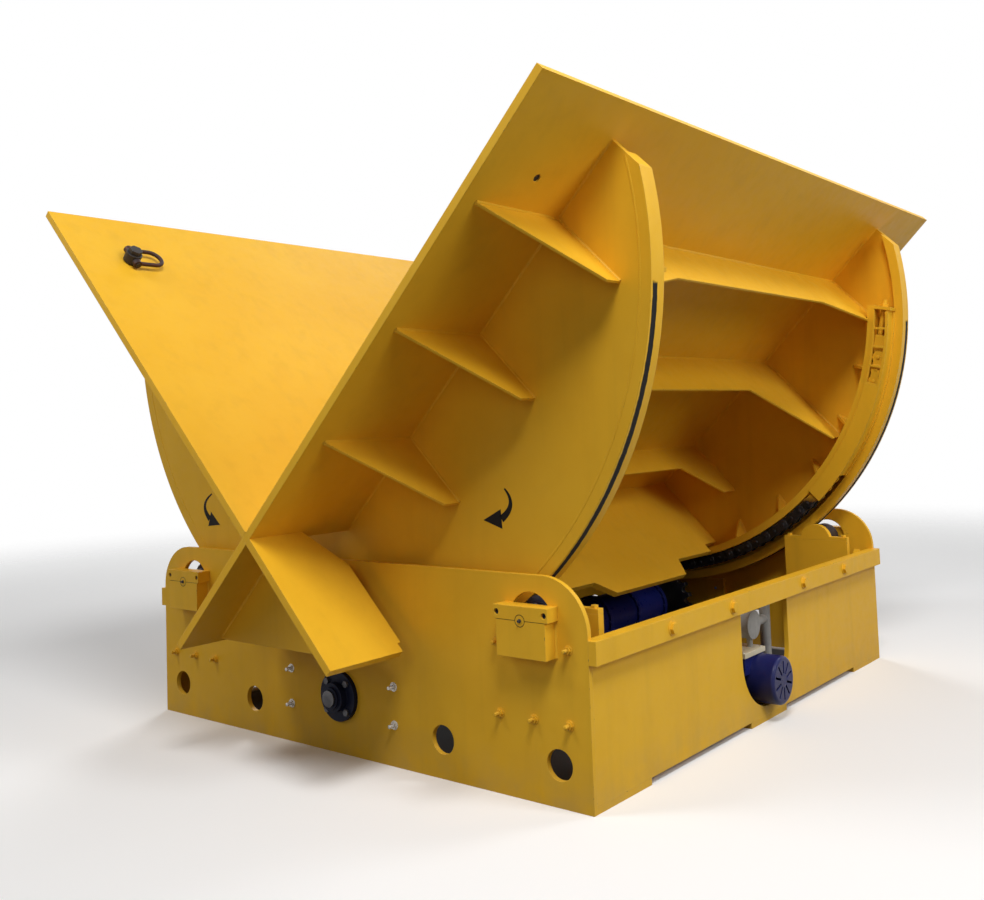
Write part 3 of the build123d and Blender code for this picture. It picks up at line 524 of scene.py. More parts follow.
def rollingBand(tree, place, look):
    # a mask from the distance to the rims' axis, the distance to the mid plane and the height
    fade = look["fade"]
    height = axisOf(tree, place, "Z")
    fall = figure(tree, "SUBTRACT", height, rimCentre)
    flat = addNode(tree, "CombineXYZ", {"X": axisOf(tree, place, "X"), "Y": fall}).outputs["Vector"]
    radius = addNode(tree, "VectorMath", {0: flat}, operation="LENGTH").outputs["Value"]
    ragged = figure(tree, "SUBTRACT", cloud(tree, place, look["raggedScale"], 4.0), 0.5)
    ragged = figure(tree, "MULTIPLY", ragged, look["ragged"])
    depth = figure(tree, "ADD", figure(tree, "ABSOLUTE", axisOf(tree, place, "Y")), ragged)
    height = figure(tree, "ADD", height, figure(tree, "MULTIPLY", ragged, 2.0))
    edges = (
        (radius, look["radius"], fade["radius"]),
        (depth, look["inner"], fade["side"]),
        (depth, look["outer"], -fade["side"]),
        (height, look["top"], -fade["top"]),
    )
    mask = 1.0
    for measure, edge, width in edges:
        mask = figure(tree, "MULTIPLY", mask, stretch(tree, measure, edge, edge + width))
    return mask


# the chains are painted at their ends and greased where the sprockets run
greaseReach = {"low": 1.04, "high": 1.08, "raggedScale": 18.0, "ragged": 0.05}


def greasedPart(tree, place, look):
    # a mask from the height, 1 on the low stretch
    ragged = figure(tree, "MULTIPLY", cloud(tree, place, look["raggedScale"], 4.0), look["ragged"])
    height = figure(tree, "ADD", axisOf(tree, place, "Z"), ragged)
    return stretch(tree, height, look["high"], look["low"])


def between(tree, place, look):
    # 1 where a coordinate's size lies between two limits
    size = figure(tree, "ABSOLUTE", axisOf(tree, place, look["axis"]))
    above = figure(tree, "GREATER_THAN", size, look["from"])
    return figure(tree, "MULTIPLY", above, figure(tree, "LESS_THAN", size, look["to"]))


orangePaint = enamel("orangeEnamel", orangeLook)
bluePaint = enamel("blueEnamel", blueLook)
motorPaint = enamel("motorEnamel", motorLook)
creamPaint = enamel("creamEnamel", creamLook)
greyPaint = enamel("greyEnamel", greyLook)
markAndShadePaint = enamel("markAndShadePaint", markAndShadeLook)
rollerSteel = bareMetal("rollerSteel", rollerLook)
shaftSteel = bareMetal("shaftSteel", shaftLook)
bushBronze = bareMetal("bushBronze", bronzeLook)
zincSteel = bareMetal("zincSteel", zincLook)
blackIron = bareMetal("blackIron", ironLook)
bearingIron = bareMetal("bearingIron", bearingLook)
bailIron = bareMetal("bailIron", bailLook)
boltSteel = bareMetal("boltSteel", boltLook)
rimPaint = partBare("rimEnamel", orangeLook, treadLook, rollingBand, bandLook)
chainPaint = partBare("chainEnamel", orangeLook, greaseLook, greasedPart, greaseReach)
tieBolts = {"axis": "X", "from": 0.0, "to": 0.45}
capScrews = {"axis": "Y", "from": 1.6, "to": 2.0}
insideAxle = {"axis": "Y", "from": 1.0, "to": 1.6995}
sideBoltPaint = partBare("sideBoltEnamel", orangeLook, zincLook, between, tieBolts)
capScrewPaint = partBare("capScrewEnamel", orangeLook, ironLook, between, capScrews)
axlePaint = partBare("axleEnamel", orangeLook, shaftLook, between, insideAxle)


def named(*starts):
    return tuple(name for name in nodes if name.startswith(starts))


finishes = {
    rimPaint: ("rim_near", "rim_far"),
    bluePaint: ("gear_reducer", "input_gearbox", "terminal_box", "reducer_bolts"),
    motorPaint: ("drive_motor", "fan_cowl"),
    creamPaint: ("terminal_lid",),
    greyPaint: ("conduit_riser", "junction_box"),
    rollerSteel: named("roller_near", "roller_far"),
    shaftSteel: ("drive_shaft", "drive_sprockets"),
    bushBronze: named("roller_bush"),
    chainPaint: ("rack_chain_near", "rack_chain_far"),
    blackIron: named("hoist_swivel", "hoist_bolts"),
    bailIron: named("hoist_bail"),
    bearingIron: ("flange_bearings",),
    boltSteel: ("bearing_bolts",),
    sideBoltPaint: ("side_bolts",),
    capScrewPaint: ("cap_bolts",),
    axlePaint: ("roller_axles",),
}
finishOf = {name: material for material, names in finishes.items() for name in names}
for nodeName, node in nodes.items():
    # every material slot of the node takes the one finish
    if not node.material_slots:
        node.data.materials.append(None)
    for slot in node.material_slots:
        slot.material = finishOf.get(nodeName, orangePaint)
print("finishes put on", len(nodes), "nodes")


# weld beads wear the same enamel with a ripple along their length, which is the map's first coordinate
rippleLook = {"pitch": 0.010, "strength": 0.2, "depth": 0.0010}


def beadEnamel(name, look, ripple):
    # height is the sine of the distance along the bead
    material, tree, shader = startMaterial(name)
    layers = enamelLayers(tree, look)
    along = axisOf(tree, addNode(tree, "TexCoord").outputs["UV"], "X")
    wave = figure(tree, "SINE", figure(tree, "MULTIPLY", along, 2 * np.pi / ripple["pitch"]))
    layers["normal"] = bumped(tree, wave, ripple["strength"], ripple["depth"], layers["normal"])
    fillShader(tree, shader, layers, look["specular"])
    return material


beadPaint = beadEnamel("beadEnamel", {**orangeLook, "edgeWearAndHighlight": 0.0, "scuffs": 0.0}, rippleLook)


# mesh helpers: a closed profile carried along a path, for many copies at once
meshLook = {
    "sharpAngle": 35.0,  # degrees between faces past which an edge stays sharp
    "mapWidth": 0.03,  # metres round a bead on its map
}


def stackFaces(count, stations, around, closed):
    # quads between neighbouring rings of every copy; an open stack gets a cap on each end ring
    ring = np.arange(around)
    follower = np.roll(ring, -1)
    low = np.arange(stations if closed else stations - 1)[:, None]
    high = (low + 1) % stations * around
    low = low * around
    quads = np.stack([low + ring, low + follower, high + follower, high + ring], axis=-1).reshape(-1, 4)
    first = np.arange(count)[:, None, None] * stations * around
    faces = (quads + first).reshape(-1, 4).tolist()
    if not closed:
        caps = np.stack([ring[::-1], (stations - 1) * around + ring])
        faces += (caps + first).reshape(-1, around).tolist()
    return faces


def addPiece(name, rings, body, material, reach=None, closed=False):
    # rings[copy, station, point] holds the places; reach[copy, station] is the distance along the path
    count, stations, around = rings.shape[:3]
    mesh = bpy.data.meshes.new(name)
    mesh.from_pydata(rings.reshape(-1, 3).tolist(), [], stackFaces(count, stations, around, closed))
    shell = bmesh.new()
    shell.from_mesh(mesh)
    bmesh.ops.recalc_face_normals(shell, faces=shell.faces)
    shell.to_mesh(mesh)
    shell.free()
    mesh.polygons.foreach_set("use_smooth", np.ones(len(mesh.polygons), bool))
    mesh.set_sharp_from_angle(angle=np.radians(meshLook["sharpAngle"]))
    if reach is not None:
        corner = np.zeros(len(mesh.loops), int)
        mesh.loops.foreach_get("vertex_index", corner)
        along = np.repeat(reach.reshape(-1), around)[corner]
        across = corner % around / around * meshLook["mapWidth"]
        spread = np.column_stack([along, across]).ravel()
        mesh.uv_layers.new(name="alongBead").data.foreach_set("uv", spread)
    mesh.materials.append(material)
    piece = bpy.data.objects.new(name, mesh)
    scene.collection.objects.link(piece)
    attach(piece, body)


ways = (-1, 1)  # left and right, near and far, or a plate's two faces


def allOf(*choices):
    # every combination of the choices, one flat array for each
    return [grid.ravel() for grid in np.meshgrid(*choices, indexing="ij")]


def unit(vectors):
    return vectors / np.linalg.norm(vectors, axis=-1, keepdims=True)


def columns(x, y, z):
    return np.stack(np.broadcast_arrays(x, y, z), axis=-1).astype(float)


def sideways(way):
    return columns(0.0, way, 0.0)


def fullTurn(count):
    # angles spaced evenly round a circle
    return np.linspace(0.0, 2 * np.pi, count, endpoint=False)


def addTurned(name, places, axes, shape, slot, material, body="base", closed=False):
    # radius times (cosine, sine) across the axis, plus the profile's second number along it
    places = np.atleast_2d(places).astype(float)
    axes = unit(np.broadcast_to(np.atleast_2d(axes).astype(float), places.shape))
    # a direction well away from the axis
    helper = np.where(np.abs(axes[:, 2:]) < 0.9, [[0.0, 0.0, 1.0]], [[1.0, 0.0, 0.0]])
    across = unit(np.cross(axes, helper))
    beside = np.cross(axes, across)
    angle = fullTurn(shape["segments"])[:, None]
    spoke = across[:, None] * np.cos(angle) + beside[:, None] * np.sin(angle)
    radius, along = np.array(shape["profile"]).T[:, None, :, None, None]
    rings = places[:, None, None] + along * axes[:, None, None] + radius * spoke[:, None]
    addPiece(name, rings, body, material, closed=closed)


def beadRings(starts, ends, first, second, look):
    # straight beads, with stations spaced evenly from start to end
    reach = np.linalg.norm(ends - starts, axis=-1)
    stations = max(look["fewest"], int(reach.max() / look["step"]))
    share = np.linspace(0.0, 1.0, stations)[None, :, None]
    path = starts[:, None] * (1 - share) + ends[:, None] * share
    return carryBead(path, first[:, None], second[:, None], look)


def carryBead(path, first, second, look):
    # a section in two directions, carried along the path; its size swells a little on the way
    steps = np.linalg.norm(np.diff(path, axis=1), axis=-1)
    reach = np.concatenate([np.zeros((len(path), 1)), np.cumsum(steps, axis=1)], axis=1)
    draws = np.random.default_rng(look["seed"]).normal(size=path.shape[:2])
    swell = look["size"] * (1 + look["swell"] * draws)
    section = np.array(look["section"])
    flat = section[:, :1] * first[:, :, None] + section[:, 1:] * second[:, :, None]
    return path[:, :, None] + flat * swell[:, :, None, None], reach


rise = np.sqrt(0.5)  # both tables stand at 45 degrees


def tablePlace(end, station, across, depth):
    # a point at a station up a table, at a depth under its mid plane; end is 1 right and -1 left
    x = end * rise * (station + depth)
    return columns(x, across, crotch + rise * (station - depth))


def upTable(end):
    return columns(end * rise, 0.0, rise)


def underTable(end):
    return columns(end * rise, 0.0, -rise)


def ringPlace(radius, angle, across):
    # a point about the rims' axis, by its angle from straight down
    return columns(radius * np.sin(angle), across, rimCentre - radius * np.cos(angle))


filletLook = {
    "size": 0.008,
    "swell": 0.06,
    "seed": 5,
    "step": 0.03,  # metres from station to station
    "fewest": 3,
    "section": ((-0.2, -0.2), (1.0, -0.2), (0.92, 0.12), (0.5, 0.5), (0.12, 0.92), (-0.2, 1.0)),
}
seamLook = {
    **filletLook,
    "size": 0.007,
    "section": ((-1.0, -0.2), (1.0, -0.2), (0.7, 0.16), (0.0, 0.26), (-0.7, 0.16)),
}


def layBead(name, bead, body="cradle"):
    # bead is what carryBead or beadRings gives
    rings, reach = bead
    addPiece(name, rings, body, beadPaint, reach)


def weld(name, starts, ends, first, second, body="cradle", look=filletLook):
    layBead(name, beadRings(starts, ends, first, second, look), body)


rockerWelds = {"from": 0.03, "to": 2.335}
sideRibWelds = {"stations": (0.625, 1.275, 1.925), "half": 0.006, "edge": 2.09, "depth": 0.445}
crossRibWelds = {"stations": (0.390, 1.195, 1.900), "depths": (0.318, 0.745, 0.400), "half": 0.006}


def weldCradle():
    # rockers under the tables, on both faces
    look = rockerWelds
    end, side, face = allOf(ways, ways, ways)
    across = side * np.where(face > 0, rockerOuter, rockerInner)
    starts, ends = (tablePlace(end, look[key], across, tableHalf) for key in ("from", "to"))
    weld("rockerWelds", starts, ends, sideways(side * face), underTable(end))
    # outboard ribs along the tables and down the rockers
    look = sideRibWelds
    end, side, station, face = allOf(ways, ways, look["stations"], ways)
    place = station + face * look["half"]
    away = upTable(end) * face[:, None]
    starts = tablePlace(end, place, side * look["edge"], tableHalf)
    corners = tablePlace(end, place, side * rockerOuter, tableHalf)
    ends = tablePlace(end, place, side * rockerOuter, look["depth"])
    weld("sideRibTableWelds", starts, corners, away, underTable(end))
    weld("sideRibRockerWelds", corners, ends, away, sideways(side))
    # cross ribs along the tables, from rocker to rocker, and down the rockers
    look = crossRibWelds
    stations, depths = np.array(look["stations"]), np.array(look["depths"])
    end, rib, face, side = allOf(ways, range(len(stations)), ways, ways)
    place = stations[rib] + face * look["half"]
    away = upTable(end) * face[:, None]
    starts, ends = (tablePlace(end, place, side * rockerInner, depth) for depth in (tableHalf, depths[rib]))
    near, far = side < 0, side > 0
    weld("crossRibTableWelds", starts[near], starts[far], away[far], underTable(end[far]))
    weld("crossRibRockerWelds", starts, ends, away, sideways(-side))
    # the valley where the tables cross
    right = np.ones(1)
    starts = columns(0.0, -tableSide * right, crotch + tableHalf / rise)
    weld("valleyWeld", starts, starts * [1, -1, 1], upTable(right), upTable(-right))


rimWelds = {"corner": 1.775, "track": 1.661, "half": 103.5, "trackHalf": 89.0, "count": 260}
gussetWelds = {
    "first": 10.7,  # degrees from straight down
    "step": 13.0,
    "pairs": 6,
    "half": 0.008,
    "outer": 1.655,
    "inner": 1.524,
    "size": 0.007,
}


def rimArc(radius, half, across):
    # a path about the rims' axis on both sides, with the directions to the axis and away from the middle
    side = np.array(ways)[:, None]
    angle = np.radians(np.linspace(-half, half, rimWelds["count"]))[None]
    inward = -ringPlace(1.0, angle, 0.0 * side) + [0.0, 0.0, rimCentre]
    return ringPlace(radius, angle, side * across), inward, columns(0.0 * angle, side, 0.0)


def weldRims():
    # inside the rims, along a seam on the rockers' outer faces, and along the tracks
    look = rimWelds
    path, inward, outward = rimArc(look["corner"], look["half"], rockerInner)
    layBead("rimCornerWelds", carryBead(path, -outward, inward, filletLook))
    path, inward, outward = rimArc(look["corner"], look["half"], rockerOuter)
    layBead("rimSeamWelds", carryBead(path, inward, outward, seamLook))
    path, inward, outward = rimArc(look["track"], look["trackHalf"], rockerInner)
    layBead("trackWelds", carryBead(path, -outward, inward, filletLook))
    # gussets of the tracks, down the rockers
    look = gussetWelds
    pair, way, side, face = allOf(np.arange(look["pairs"]), ways, ways, ways)
    angle = np.radians(way * (look["first"] + pair * look["step"]))
    along = columns(np.cos(angle), 0.0, np.sin(angle)) * face[:, None]
    across = side * rockerInner
    starts, ends = (ringPlace(look[key], angle, across) + along * look["half"] for key in ("outer", "inner"))
    weld("gussetWelds", starts, ends, along, sideways(-side), look={**filletLook, "size": look["size"]})


blockHalf = 0.130  # half an axle block's length
cornerWelds = {"low": 0.03, "high": 0.70}
webWelds = {"across": 1.94, "half": 0.010, "top": 1.083, "foot": 0.50}


def weldBase():
    # end plates inside the side plates
    end, side = allOf(ways, ways)
    x, y = end * endInner, side * sideInner
    starts, ends = (columns(x, y, cornerWelds[key]) for key in ("low", "high"))
    weld("cornerWelds", starts, ends, columns(-end, 0.0, 0.0), sideways(-side), "base")
    # axle blocks on the side plates: the lower edge and both flanks
    x, y = end * axleX, side * sideOuter
    starts, ends = (columns(x + way * blockHalf, y, blockLow) for way in ways)
    weld("blockFootWelds", starts, ends, columns(0.0 * end, 0.0, -1.0), sideways(side), "base")
    end, side, face = allOf(ways, ways, ways)
    x, y = end * axleX + face * blockHalf, side * sideOuter
    starts, ends = (columns(x, y, z) for z in (blockLow, axleZ))
    weld("blockFlankWelds", starts, ends, columns(face, 0.0, 0.0), sideways(side), "base")
    # webs between the outboard legs, which ride with the cradle
    look = webWelds
    across = side * look["across"] + face * look["half"]
    starts = columns(0.0, across, look["top"])
    ends = columns(end * look["foot"], across, look["top"] - look["foot"])
    weld("webWelds", starts, ends, sideways(face), -upTable(end))


weldCradle()
weldRims()
weldBase()
print("welds laid")


# chains: outer link plates on every other link, and pin heads
chainLook = {
    "pitch": 0.0762,
    "around": 142,  # pitches in a full circle
    "halfLinks": 31,
    "eye": 0.033,
    "neck": 130.0,  # degrees of each eye's arc, from its far end
    "eyePoints": 13,
    "heights": (-0.001, 0.004, 0.005),  # a plate's sections, from the strip's free face
    "shrink": (1.0, 1.0, 0.95),
}
pinShape = {"profile": ((0.0115, -0.001), (0.0115, 0.0065), (0.0085, 0.0080)), "segments": 10}


def addChainPlates(look):
    # an outline of two arcs about the pins, joined by straight flanks, carried through its thickness
    arc = np.radians(np.linspace(-look["neck"], look["neck"], look["eyePoints"]))
    right = np.column_stack([look["pitch"] / 2 + look["eye"] * np.cos(arc), look["eye"] * np.sin(arc)])
    outline = np.vstack([right, -right])
    linkAngle = 2 * np.pi / look["around"]
    radius = look["pitch"] / 2 / np.sin(linkAngle / 2)
    inner, outer = nodeFaces("rack_chain_far", "y")
    link, side, face = allOf(np.arange(-look["halfLinks"], look["halfLinks"], 2) + 0.5, ways, ways)
    angle = link * linkAngle
    chord = radius * np.cos(linkAngle / 2)
    places = ringPlace(chord, angle, side * np.where(face > 0, outer, inner))
    along = columns(np.cos(angle), 0.0, np.sin(angle))
    outward = columns(np.sin(angle), 0.0, -np.cos(angle))
    flat = outline[:, :1] * along[:, None] + outline[:, 1:] * outward[:, None]
    heights, shrink = (np.array(look[key])[:, None, None] for key in ("heights", "shrink"))
    rings = places[:, None, None] + flat[:, None] * shrink + sideways(side * face)[:, None, None] * heights
    addPiece("chainLinkPlates", rings, "cradle", chainPaint)
    pin, side, face = allOf(np.arange(-look["halfLinks"], look["halfLinks"] + 1), ways, ways)
    places = ringPlace(radius, pin * linkAngle, side * np.where(face > 0, outer, inner))
    addTurned("chainPins", places, sideways(side * face), pinShape, "chain_steel", chainPaint, "cradle")


addChainPlates(chainLook)
print("chain plates and pins set")


# curved covers over the chains' unused ends, on the tracks' edges, with windows by the anchors
coverLook = {
    "from": 45.5,  # degrees from straight down
    "windows": 72.7,
    "to": 88.0,
    "edgeFrom": 52.5,  # the outer edge starts clear of the sprockets
    "inner": 1.674,
    "outer": 1.770,  # clear of the bolts on the bracket caps
    "innerRail": 0.012,
    "outerRail": 0.018,
    "rungs": (72.92, 76.7, 80.8, 84.6),
    "rungHalf": 0.22,  # degrees
    "face": 1.3554,
    "thick": 0.005,
    "rimFace": 1.4495,
    "lip": 1.780,  # a strip beside the brackets closes the gap to the rim
    "lipFace": 1.432,
    "stations": 40,
    "rungStations": 3,
}


def arcBand(end, side, reach, radii, depths, stations):
    # a rectangle of two radii and two depths, carried round the rims' axis from angle to angle
    first, last = (np.broadcast_to(limit, end.shape)[:, None] for limit in reach)
    share = np.linspace(0.0, 1.0, stations)
    angle = np.radians(end[:, None] * (first * (1 - share) + last * share))
    radius = np.array([radii[0], radii[1], radii[1], radii[0]])
    return ringPlace(radius, angle[..., None], side[:, None, None] * np.repeat(depths, 2))


def addChainCovers(look):
    end, side = allOf(ways, ways)
    front = (look["face"] - look["thick"], look["face"])
    inner, outer = look["inner"], look["outer"]
    low, high = inner + look["innerRail"], outer - look["outerRail"]
    ladder = (look["windows"], look["to"])
    edge = (look["edgeFrom"], look["to"])
    bands = {
        "coverPlates": ((look["from"], look["windows"]), (inner, outer), front),
        "coverInnerRails": (ladder, (inner, low), front),
        "coverOuterRails": (ladder, (high, outer), front),
        "coverEdges": (edge, (outer - look["thick"], outer), (look["face"], look["rimFace"])),
        "coverLips": (edge, (outer - look["thick"], look["lip"]), (look["lipFace"], look["rimFace"])),
    }
    for name, (reach, radii, depths) in bands.items():
        rings = arcBand(end, side, reach, radii, depths, look["stations"])
        addPiece(name, rings, "cradle", orangePaint)
    end, side, rung = allOf(ways, ways, look["rungs"])
    reach = (rung - look["rungHalf"], rung + look["rungHalf"])
    rings = arcBand(end, side, reach, (low, high), front, look["rungStations"])
    addPiece("coverRungs", rings, "cradle", orangePaint)


addChainCovers(coverLook)
print("chain covers set")


# curved direction arrows on the rockers' outer faces
arrowLook = {
    "marks": {  # tail, bend, neck and tip of each, in x and z
        "right": ((1.028, 1.307), (1.1025, 1.236), (1.006, 1.172), (0.901, 1.164)),
        "left": ((-1.135, 1.249), (-1.2585, 1.187), (-1.160, 1.107), (-1.064, 1.076)),
    },
    "points": 22,
    "thin": 0.004,
    "wide": 0.017,
    "head": 0.0434,
    "sunk": 0.0005,
    "proud": 0.0006,
}


def addArrow(name, marks, look):
    # a quadratic curve whose half width grows along it, then a three-cornered head
    tail, bend, neck, tip = np.array(marks)
    share = np.linspace(0.0, 1.0, look["points"])[:, None]
    line = (1 - share) ** 2 * tail + 2 * share * (1 - share) * bend + share**2 * neck
    run = unit(2 * (1 - share) * (bend - tail) + 2 * share * (neck - bend))
    half = look["thin"] + (look["wide"] - look["thin"]) * share
    beside = np.column_stack([-run[:, 1], run[:, 0]]) * half
    edges = np.stack([line - beside, line + beside, line + beside, line - beside], axis=1)
    depth = np.array([rockerOuter - look["sunk"], rockerOuter + look["proud"]])
    side = np.array(ways)[:, None, None]
    rings = columns(edges[None, ..., 0], side * np.repeat(depth, 2), edges[None, ..., 1])
    addPiece(name + "Stroke", rings, "cradle", markAndShadePaint)
    along = unit(tip - neck)
    corner = np.array([-along[1], along[0]]) * look["head"]
    head = np.stack([neck - corner, neck + corner, tip])
    rings = columns(head[None, None, :, 0], side * depth[:, None], head[None, None, :, 1])
    addPiece(name + "Head", rings, "cradle", markAndShadePaint)


for arrowSide, arrowMarks in arrowLook["marks"].items():
    addArrow(arrowSide + "Arrow", arrowMarks, arrowLook)
print("arrows painted")


# washers under the bolt heads
washerLook = {
    "railBolts": (0.425, 1.015),  # distances from the middle
    "railZ": 0.65,
    "railRadius": 0.034,
    "railSegments": 20,
    "shelf": (-0.185, 0.0, 0.185),  # bracket bolts, along the base from each axle
    "shelfZ": 0.345,
    "gusset": (-0.190, 0.190),
    "gussetZ": 0.6514,
    "tieX": 0.372,
    "tieSpread": 0.089,  # above and below the shaft
    "radius": 0.022,
    "segments": 16,
    "thick": 0.004,
    "sunk": 0.0005,
    "chamfer": 0.001,
}


def bracketBoltPlaces(look):
    spots = [(x, look["shelfZ"]) for x in look["shelf"]] + [(x, look["gussetZ"]) for x in look["gusset"]]
    end, side, spot = allOf(ways, ways, range(len(spots)))
    x, z = np.array(spots)[spot].T
    return columns(end * (axleX + x), side * sideOuter, z), sideways(side)


def tieBoltPlaces(look):
    end, side, way = allOf(ways, ways, ways)
    z = shaftZ + way * look["tieSpread"]
    return columns(end * look["tieX"], side * sideOuter, z), sideways(side)


def addToSideBolts(kind, shape, look):
    # painted on the bracket bolts, bare on the tie bolts
    addTurned("side" + kind, *bracketBoltPlaces(look), shape, "orange_paint", orangePaint)
    addTurned("tie" + kind, *tieBoltPlaces(look), shape, "bare_steel", zincSteel)


def washerShape(radius, segments, look):
    thick, chamfer = look["thick"], look["chamfer"]
    profile = ((radius, -look["sunk"]), (radius, thick - chamfer), (radius - chamfer, thick))
    return {"profile": profile, "segments": segments}


def addWashers(look):
    end, way, place = allOf(ways, ways, look["railBolts"])
    places = columns(end * railFace, way * place, look["railZ"])
    shape = washerShape(look["railRadius"], look["railSegments"], look)
    addTurned("railWashers", places, columns(end, 0.0, 0.0), shape, "orange_paint", orangePaint)
    addToSideBolts("Washers", washerShape(look["radius"], look["segments"], look), look)


# bolt ends that stand out of the heads and nuts on the side plates
threadLook = {
    "head": 0.013,
    "sunk": 0.001,
    "reach": 0.024,
    "radius": 0.0092,
    "deep": 0.0011,
    "turns": 8,
    "segments": 10,
}


def threadShape(look):
    # the radius steps in and out along the thread, and drops at the end
    along = np.linspace(look["head"] - look["sunk"], look["head"] + look["reach"], look["turns"] * 2 + 1)
    radius = look["radius"] - look["deep"] * (np.arange(len(along)) % 2)
    tip = (look["radius"] - 2 * look["deep"], along[-1] + look["deep"])
    return {"profile": np.vstack([np.column_stack([radius, along]), tip]), "segments": look["segments"]}


# a grease nipple in each axle end, a thin black ring of painted shade for the gap round the axle, and a thin
# black strip of painted shade along the line between cap and block
axleEndLook = {"inner": 0.0238, "outer": 0.0264, "sunk": 0.001, "proud": 0.0004, "gapSegments": 28}
nippleShape = {
    "profile": (
        (0.0085, -0.002), (0.0085, 0.004), (0.0050, 0.0045), (0.0050, 0.0085),
        (0.0062, 0.0100), (0.0060, 0.0125), (0.0030, 0.0140),
    ),
    "segments": 10,
}
# the section of the black strip of painted shade along each cap's split
seamShadeLine = {
    **filletLook,
    "size": 0.001,
    "swell": 0.0,
    "step": 1.0,  # longer than any seam, so only its ends are stations
    "fewest": 2,
    "section": ((-0.8, -0.5), (0.8, -0.5), (0.8, 0.4), (-0.8, 0.4)),
}


def addAxleEnds(look):
    inner, outer, low, high = look["inner"], look["outer"], -look["sunk"], look["proud"]
    profile = ((inner, low), (inner, high), (outer, high), (outer, low))
    gapShade = {"profile": profile, "segments": look["gapSegments"]}
    end, side = allOf(ways, ways)
    places = columns(end * axleX, side * blockFace, axleZ)
    addTurned("axleNipples", places, sideways(side), nippleShape, "black_iron", blackIron)
    # painted shade: a thin black ring where the gap round the axle lies in shadow
    addTurned("axleGapShade", places, sideways(side), gapShade, "black_iron", markAndShadePaint, closed=True)
    # painted shade: a thin black strip along the split between cap and block
    end, side, way = allOf(ways, ways, ways)
    starts, ends = (columns(end * axleX + way * x, side * blockFace, axleZ) for x in (outer, blockHalf))
    up = columns(0.0 * end, 0.0, 1.0)
    rings = beadRings(starts, ends, up, sideways(side), seamShadeLine)[0]
    addPiece("capSeamShade", rings, "base", markAndShadePaint)


addWashers(washerLook)
addToSideBolts("Threads", threadShape(threadLook), washerLook)
addAxleEnds(axleEndLook)
print("washers, threads and axle ends set")


# bolts round the flanges of the gearbox and of the large housing on the shaft
flangeBolts = {
    "gearboxRadius": 0.1575,
    "gearboxFaces": (0.255, 0.535),  # x of the flanges' free faces, which look away from each other
    "gearboxWays": (1, -1),
    "gearboxCount": 12,
    "hubRadius": 0.1485,
    "hubThick": 0.026,
    "hubEnds": (0.58607, 0.92713, 1.26820),  # y of the flanges' far faces
    "hubCount": 16,
}
boltShape = {"profile": ((0.0075, -0.002), (0.0075, 0.0055), (0.0066, 0.0065)), "segments": 6}


def addFlangeBolts(look):
    flange, angle = allOf((0, 1), fullTurn(look["gearboxCount"]))
    radius = look["gearboxRadius"]
    x, way = np.array(look["gearboxFaces"])[flange], np.array(look["gearboxWays"])[flange]
    places = columns(x, radius * np.cos(angle), motorZ + radius * np.sin(angle))
    addTurned("gearboxBolts", places, columns(way, 0.0, 0.0), boltShape, "blue_paint", bluePaint)
    end, angle, way = allOf(look["hubEnds"], fullTurn(look["hubCount"]), (1, -1))
    radius = look["hubRadius"]
    y = np.where(way > 0, end, end - look["hubThick"])
    places = columns(radius * np.cos(angle), y, shaftZ + radius * np.sin(angle))
    addTurned("hubBolts", places, sideways(way), boltShape, "blue_paint", bluePaint)


# a breather on the reducer and two plugs in its side
plugLook = {"breather": (-0.08, -0.30), "plugs": (0.12, -0.56), "plugHeights": (0.20, 0.38)}
plugShape = {
    "profile": ((0.016, -0.002), (0.016, 0.006), (0.011, 0.0065), (0.011, 0.020), (0.009, 0.022)),
    "segments": 6,
}


def addPlugs(look):
    places = [(*look["breather"], nodeFaces("gear_reducer", "z")[1])]
    places += [(*look["plugs"], height) for height in look["plugHeights"]]
    axes = [(0, 0, 1), (0, -1, 0), (0, -1, 0)]
    addTurned("reducerPlugs", places, axes, plugShape, "black_iron", blackIron)


# screws in the terminal lid's corners
lidScrews = {"inset": 0.018}
screwShape = {"profile": ((0.0065, -0.001), (0.0065, 0.002), (0.0045, 0.0038)), "segments": 10}


def addLidScrews(look):
    low, high = (np.array(corner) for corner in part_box("terminal_lid"))
    x, y = allOf(*np.transpose([low + look["inset"], high - look["inset"]])[:2])
    addTurned("lidScrews", columns(x, y, high[2]), (0, 0, 1), screwShape, "bare_steel", zincSteel)


# eye bolt on the motor
eyeLook = {"x": 0.92, "ring": 0.022, "wire": 0.006, "lift": 0.030, "ringSegments": 24, "wireSegments": 8}
collarShape = {"profile": ((0.015, -0.012), (0.015, 0.004), (0.009, 0.006), (0.009, 0.012)), "segments": 16}


def addEyeBolt(look):
    # a torus: the ring's radius plus the wire's times a cosine, carried round; below it a turned collar
    top = nodeFaces("drive_motor", "z")[1]
    around = fullTurn(look["ringSegments"])[:, None]
    small = fullTurn(look["wireSegments"])
    reach = look["ring"] + look["wire"] * np.cos(small)
    z = top + look["lift"] + reach * np.sin(around)
    rings = columns(look["x"] + reach * np.cos(around), look["wire"] * np.sin(small), z)
    addPiece("motorEye", rings[None], "base", blackIron, closed=True)
    addTurned("motorEyeCollar", (look["x"], 0.0, top), (0, 0, 1), collarShape, "black_iron", blackIron)


# locknuts on the conduit
locknutLook = {"fromTop": 0.016, "fromFoot": 0.020}
locknutShape = {"profile": ((0.040, 0.0), (0.040, 0.010), (0.038, 0.012)), "segments": 8}


def addLocknuts(look):
    low, high = (np.array(corner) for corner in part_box("conduit_riser"))
    x, y = (low + high)[:2] / 2
    places = [(x, y, high[2] - look["fromTop"]), (x, y, low[2] + look["fromFoot"])]
    addTurned("conduitNuts", places, (0, 0, 1), locknutShape, "grey_paint", greyPaint)


# fan behind the cowl's slots: leaning blades round a hub
fanLook = {
    "hub": 0.030,
    "hubSegments": 20,
    "root": 0.026,
    "reach": 0.112,
    "blades": 9,
    "deep": 0.035,
    "thick": 0.003,
    "back": 0.075,
    "lean": 0.35,
}


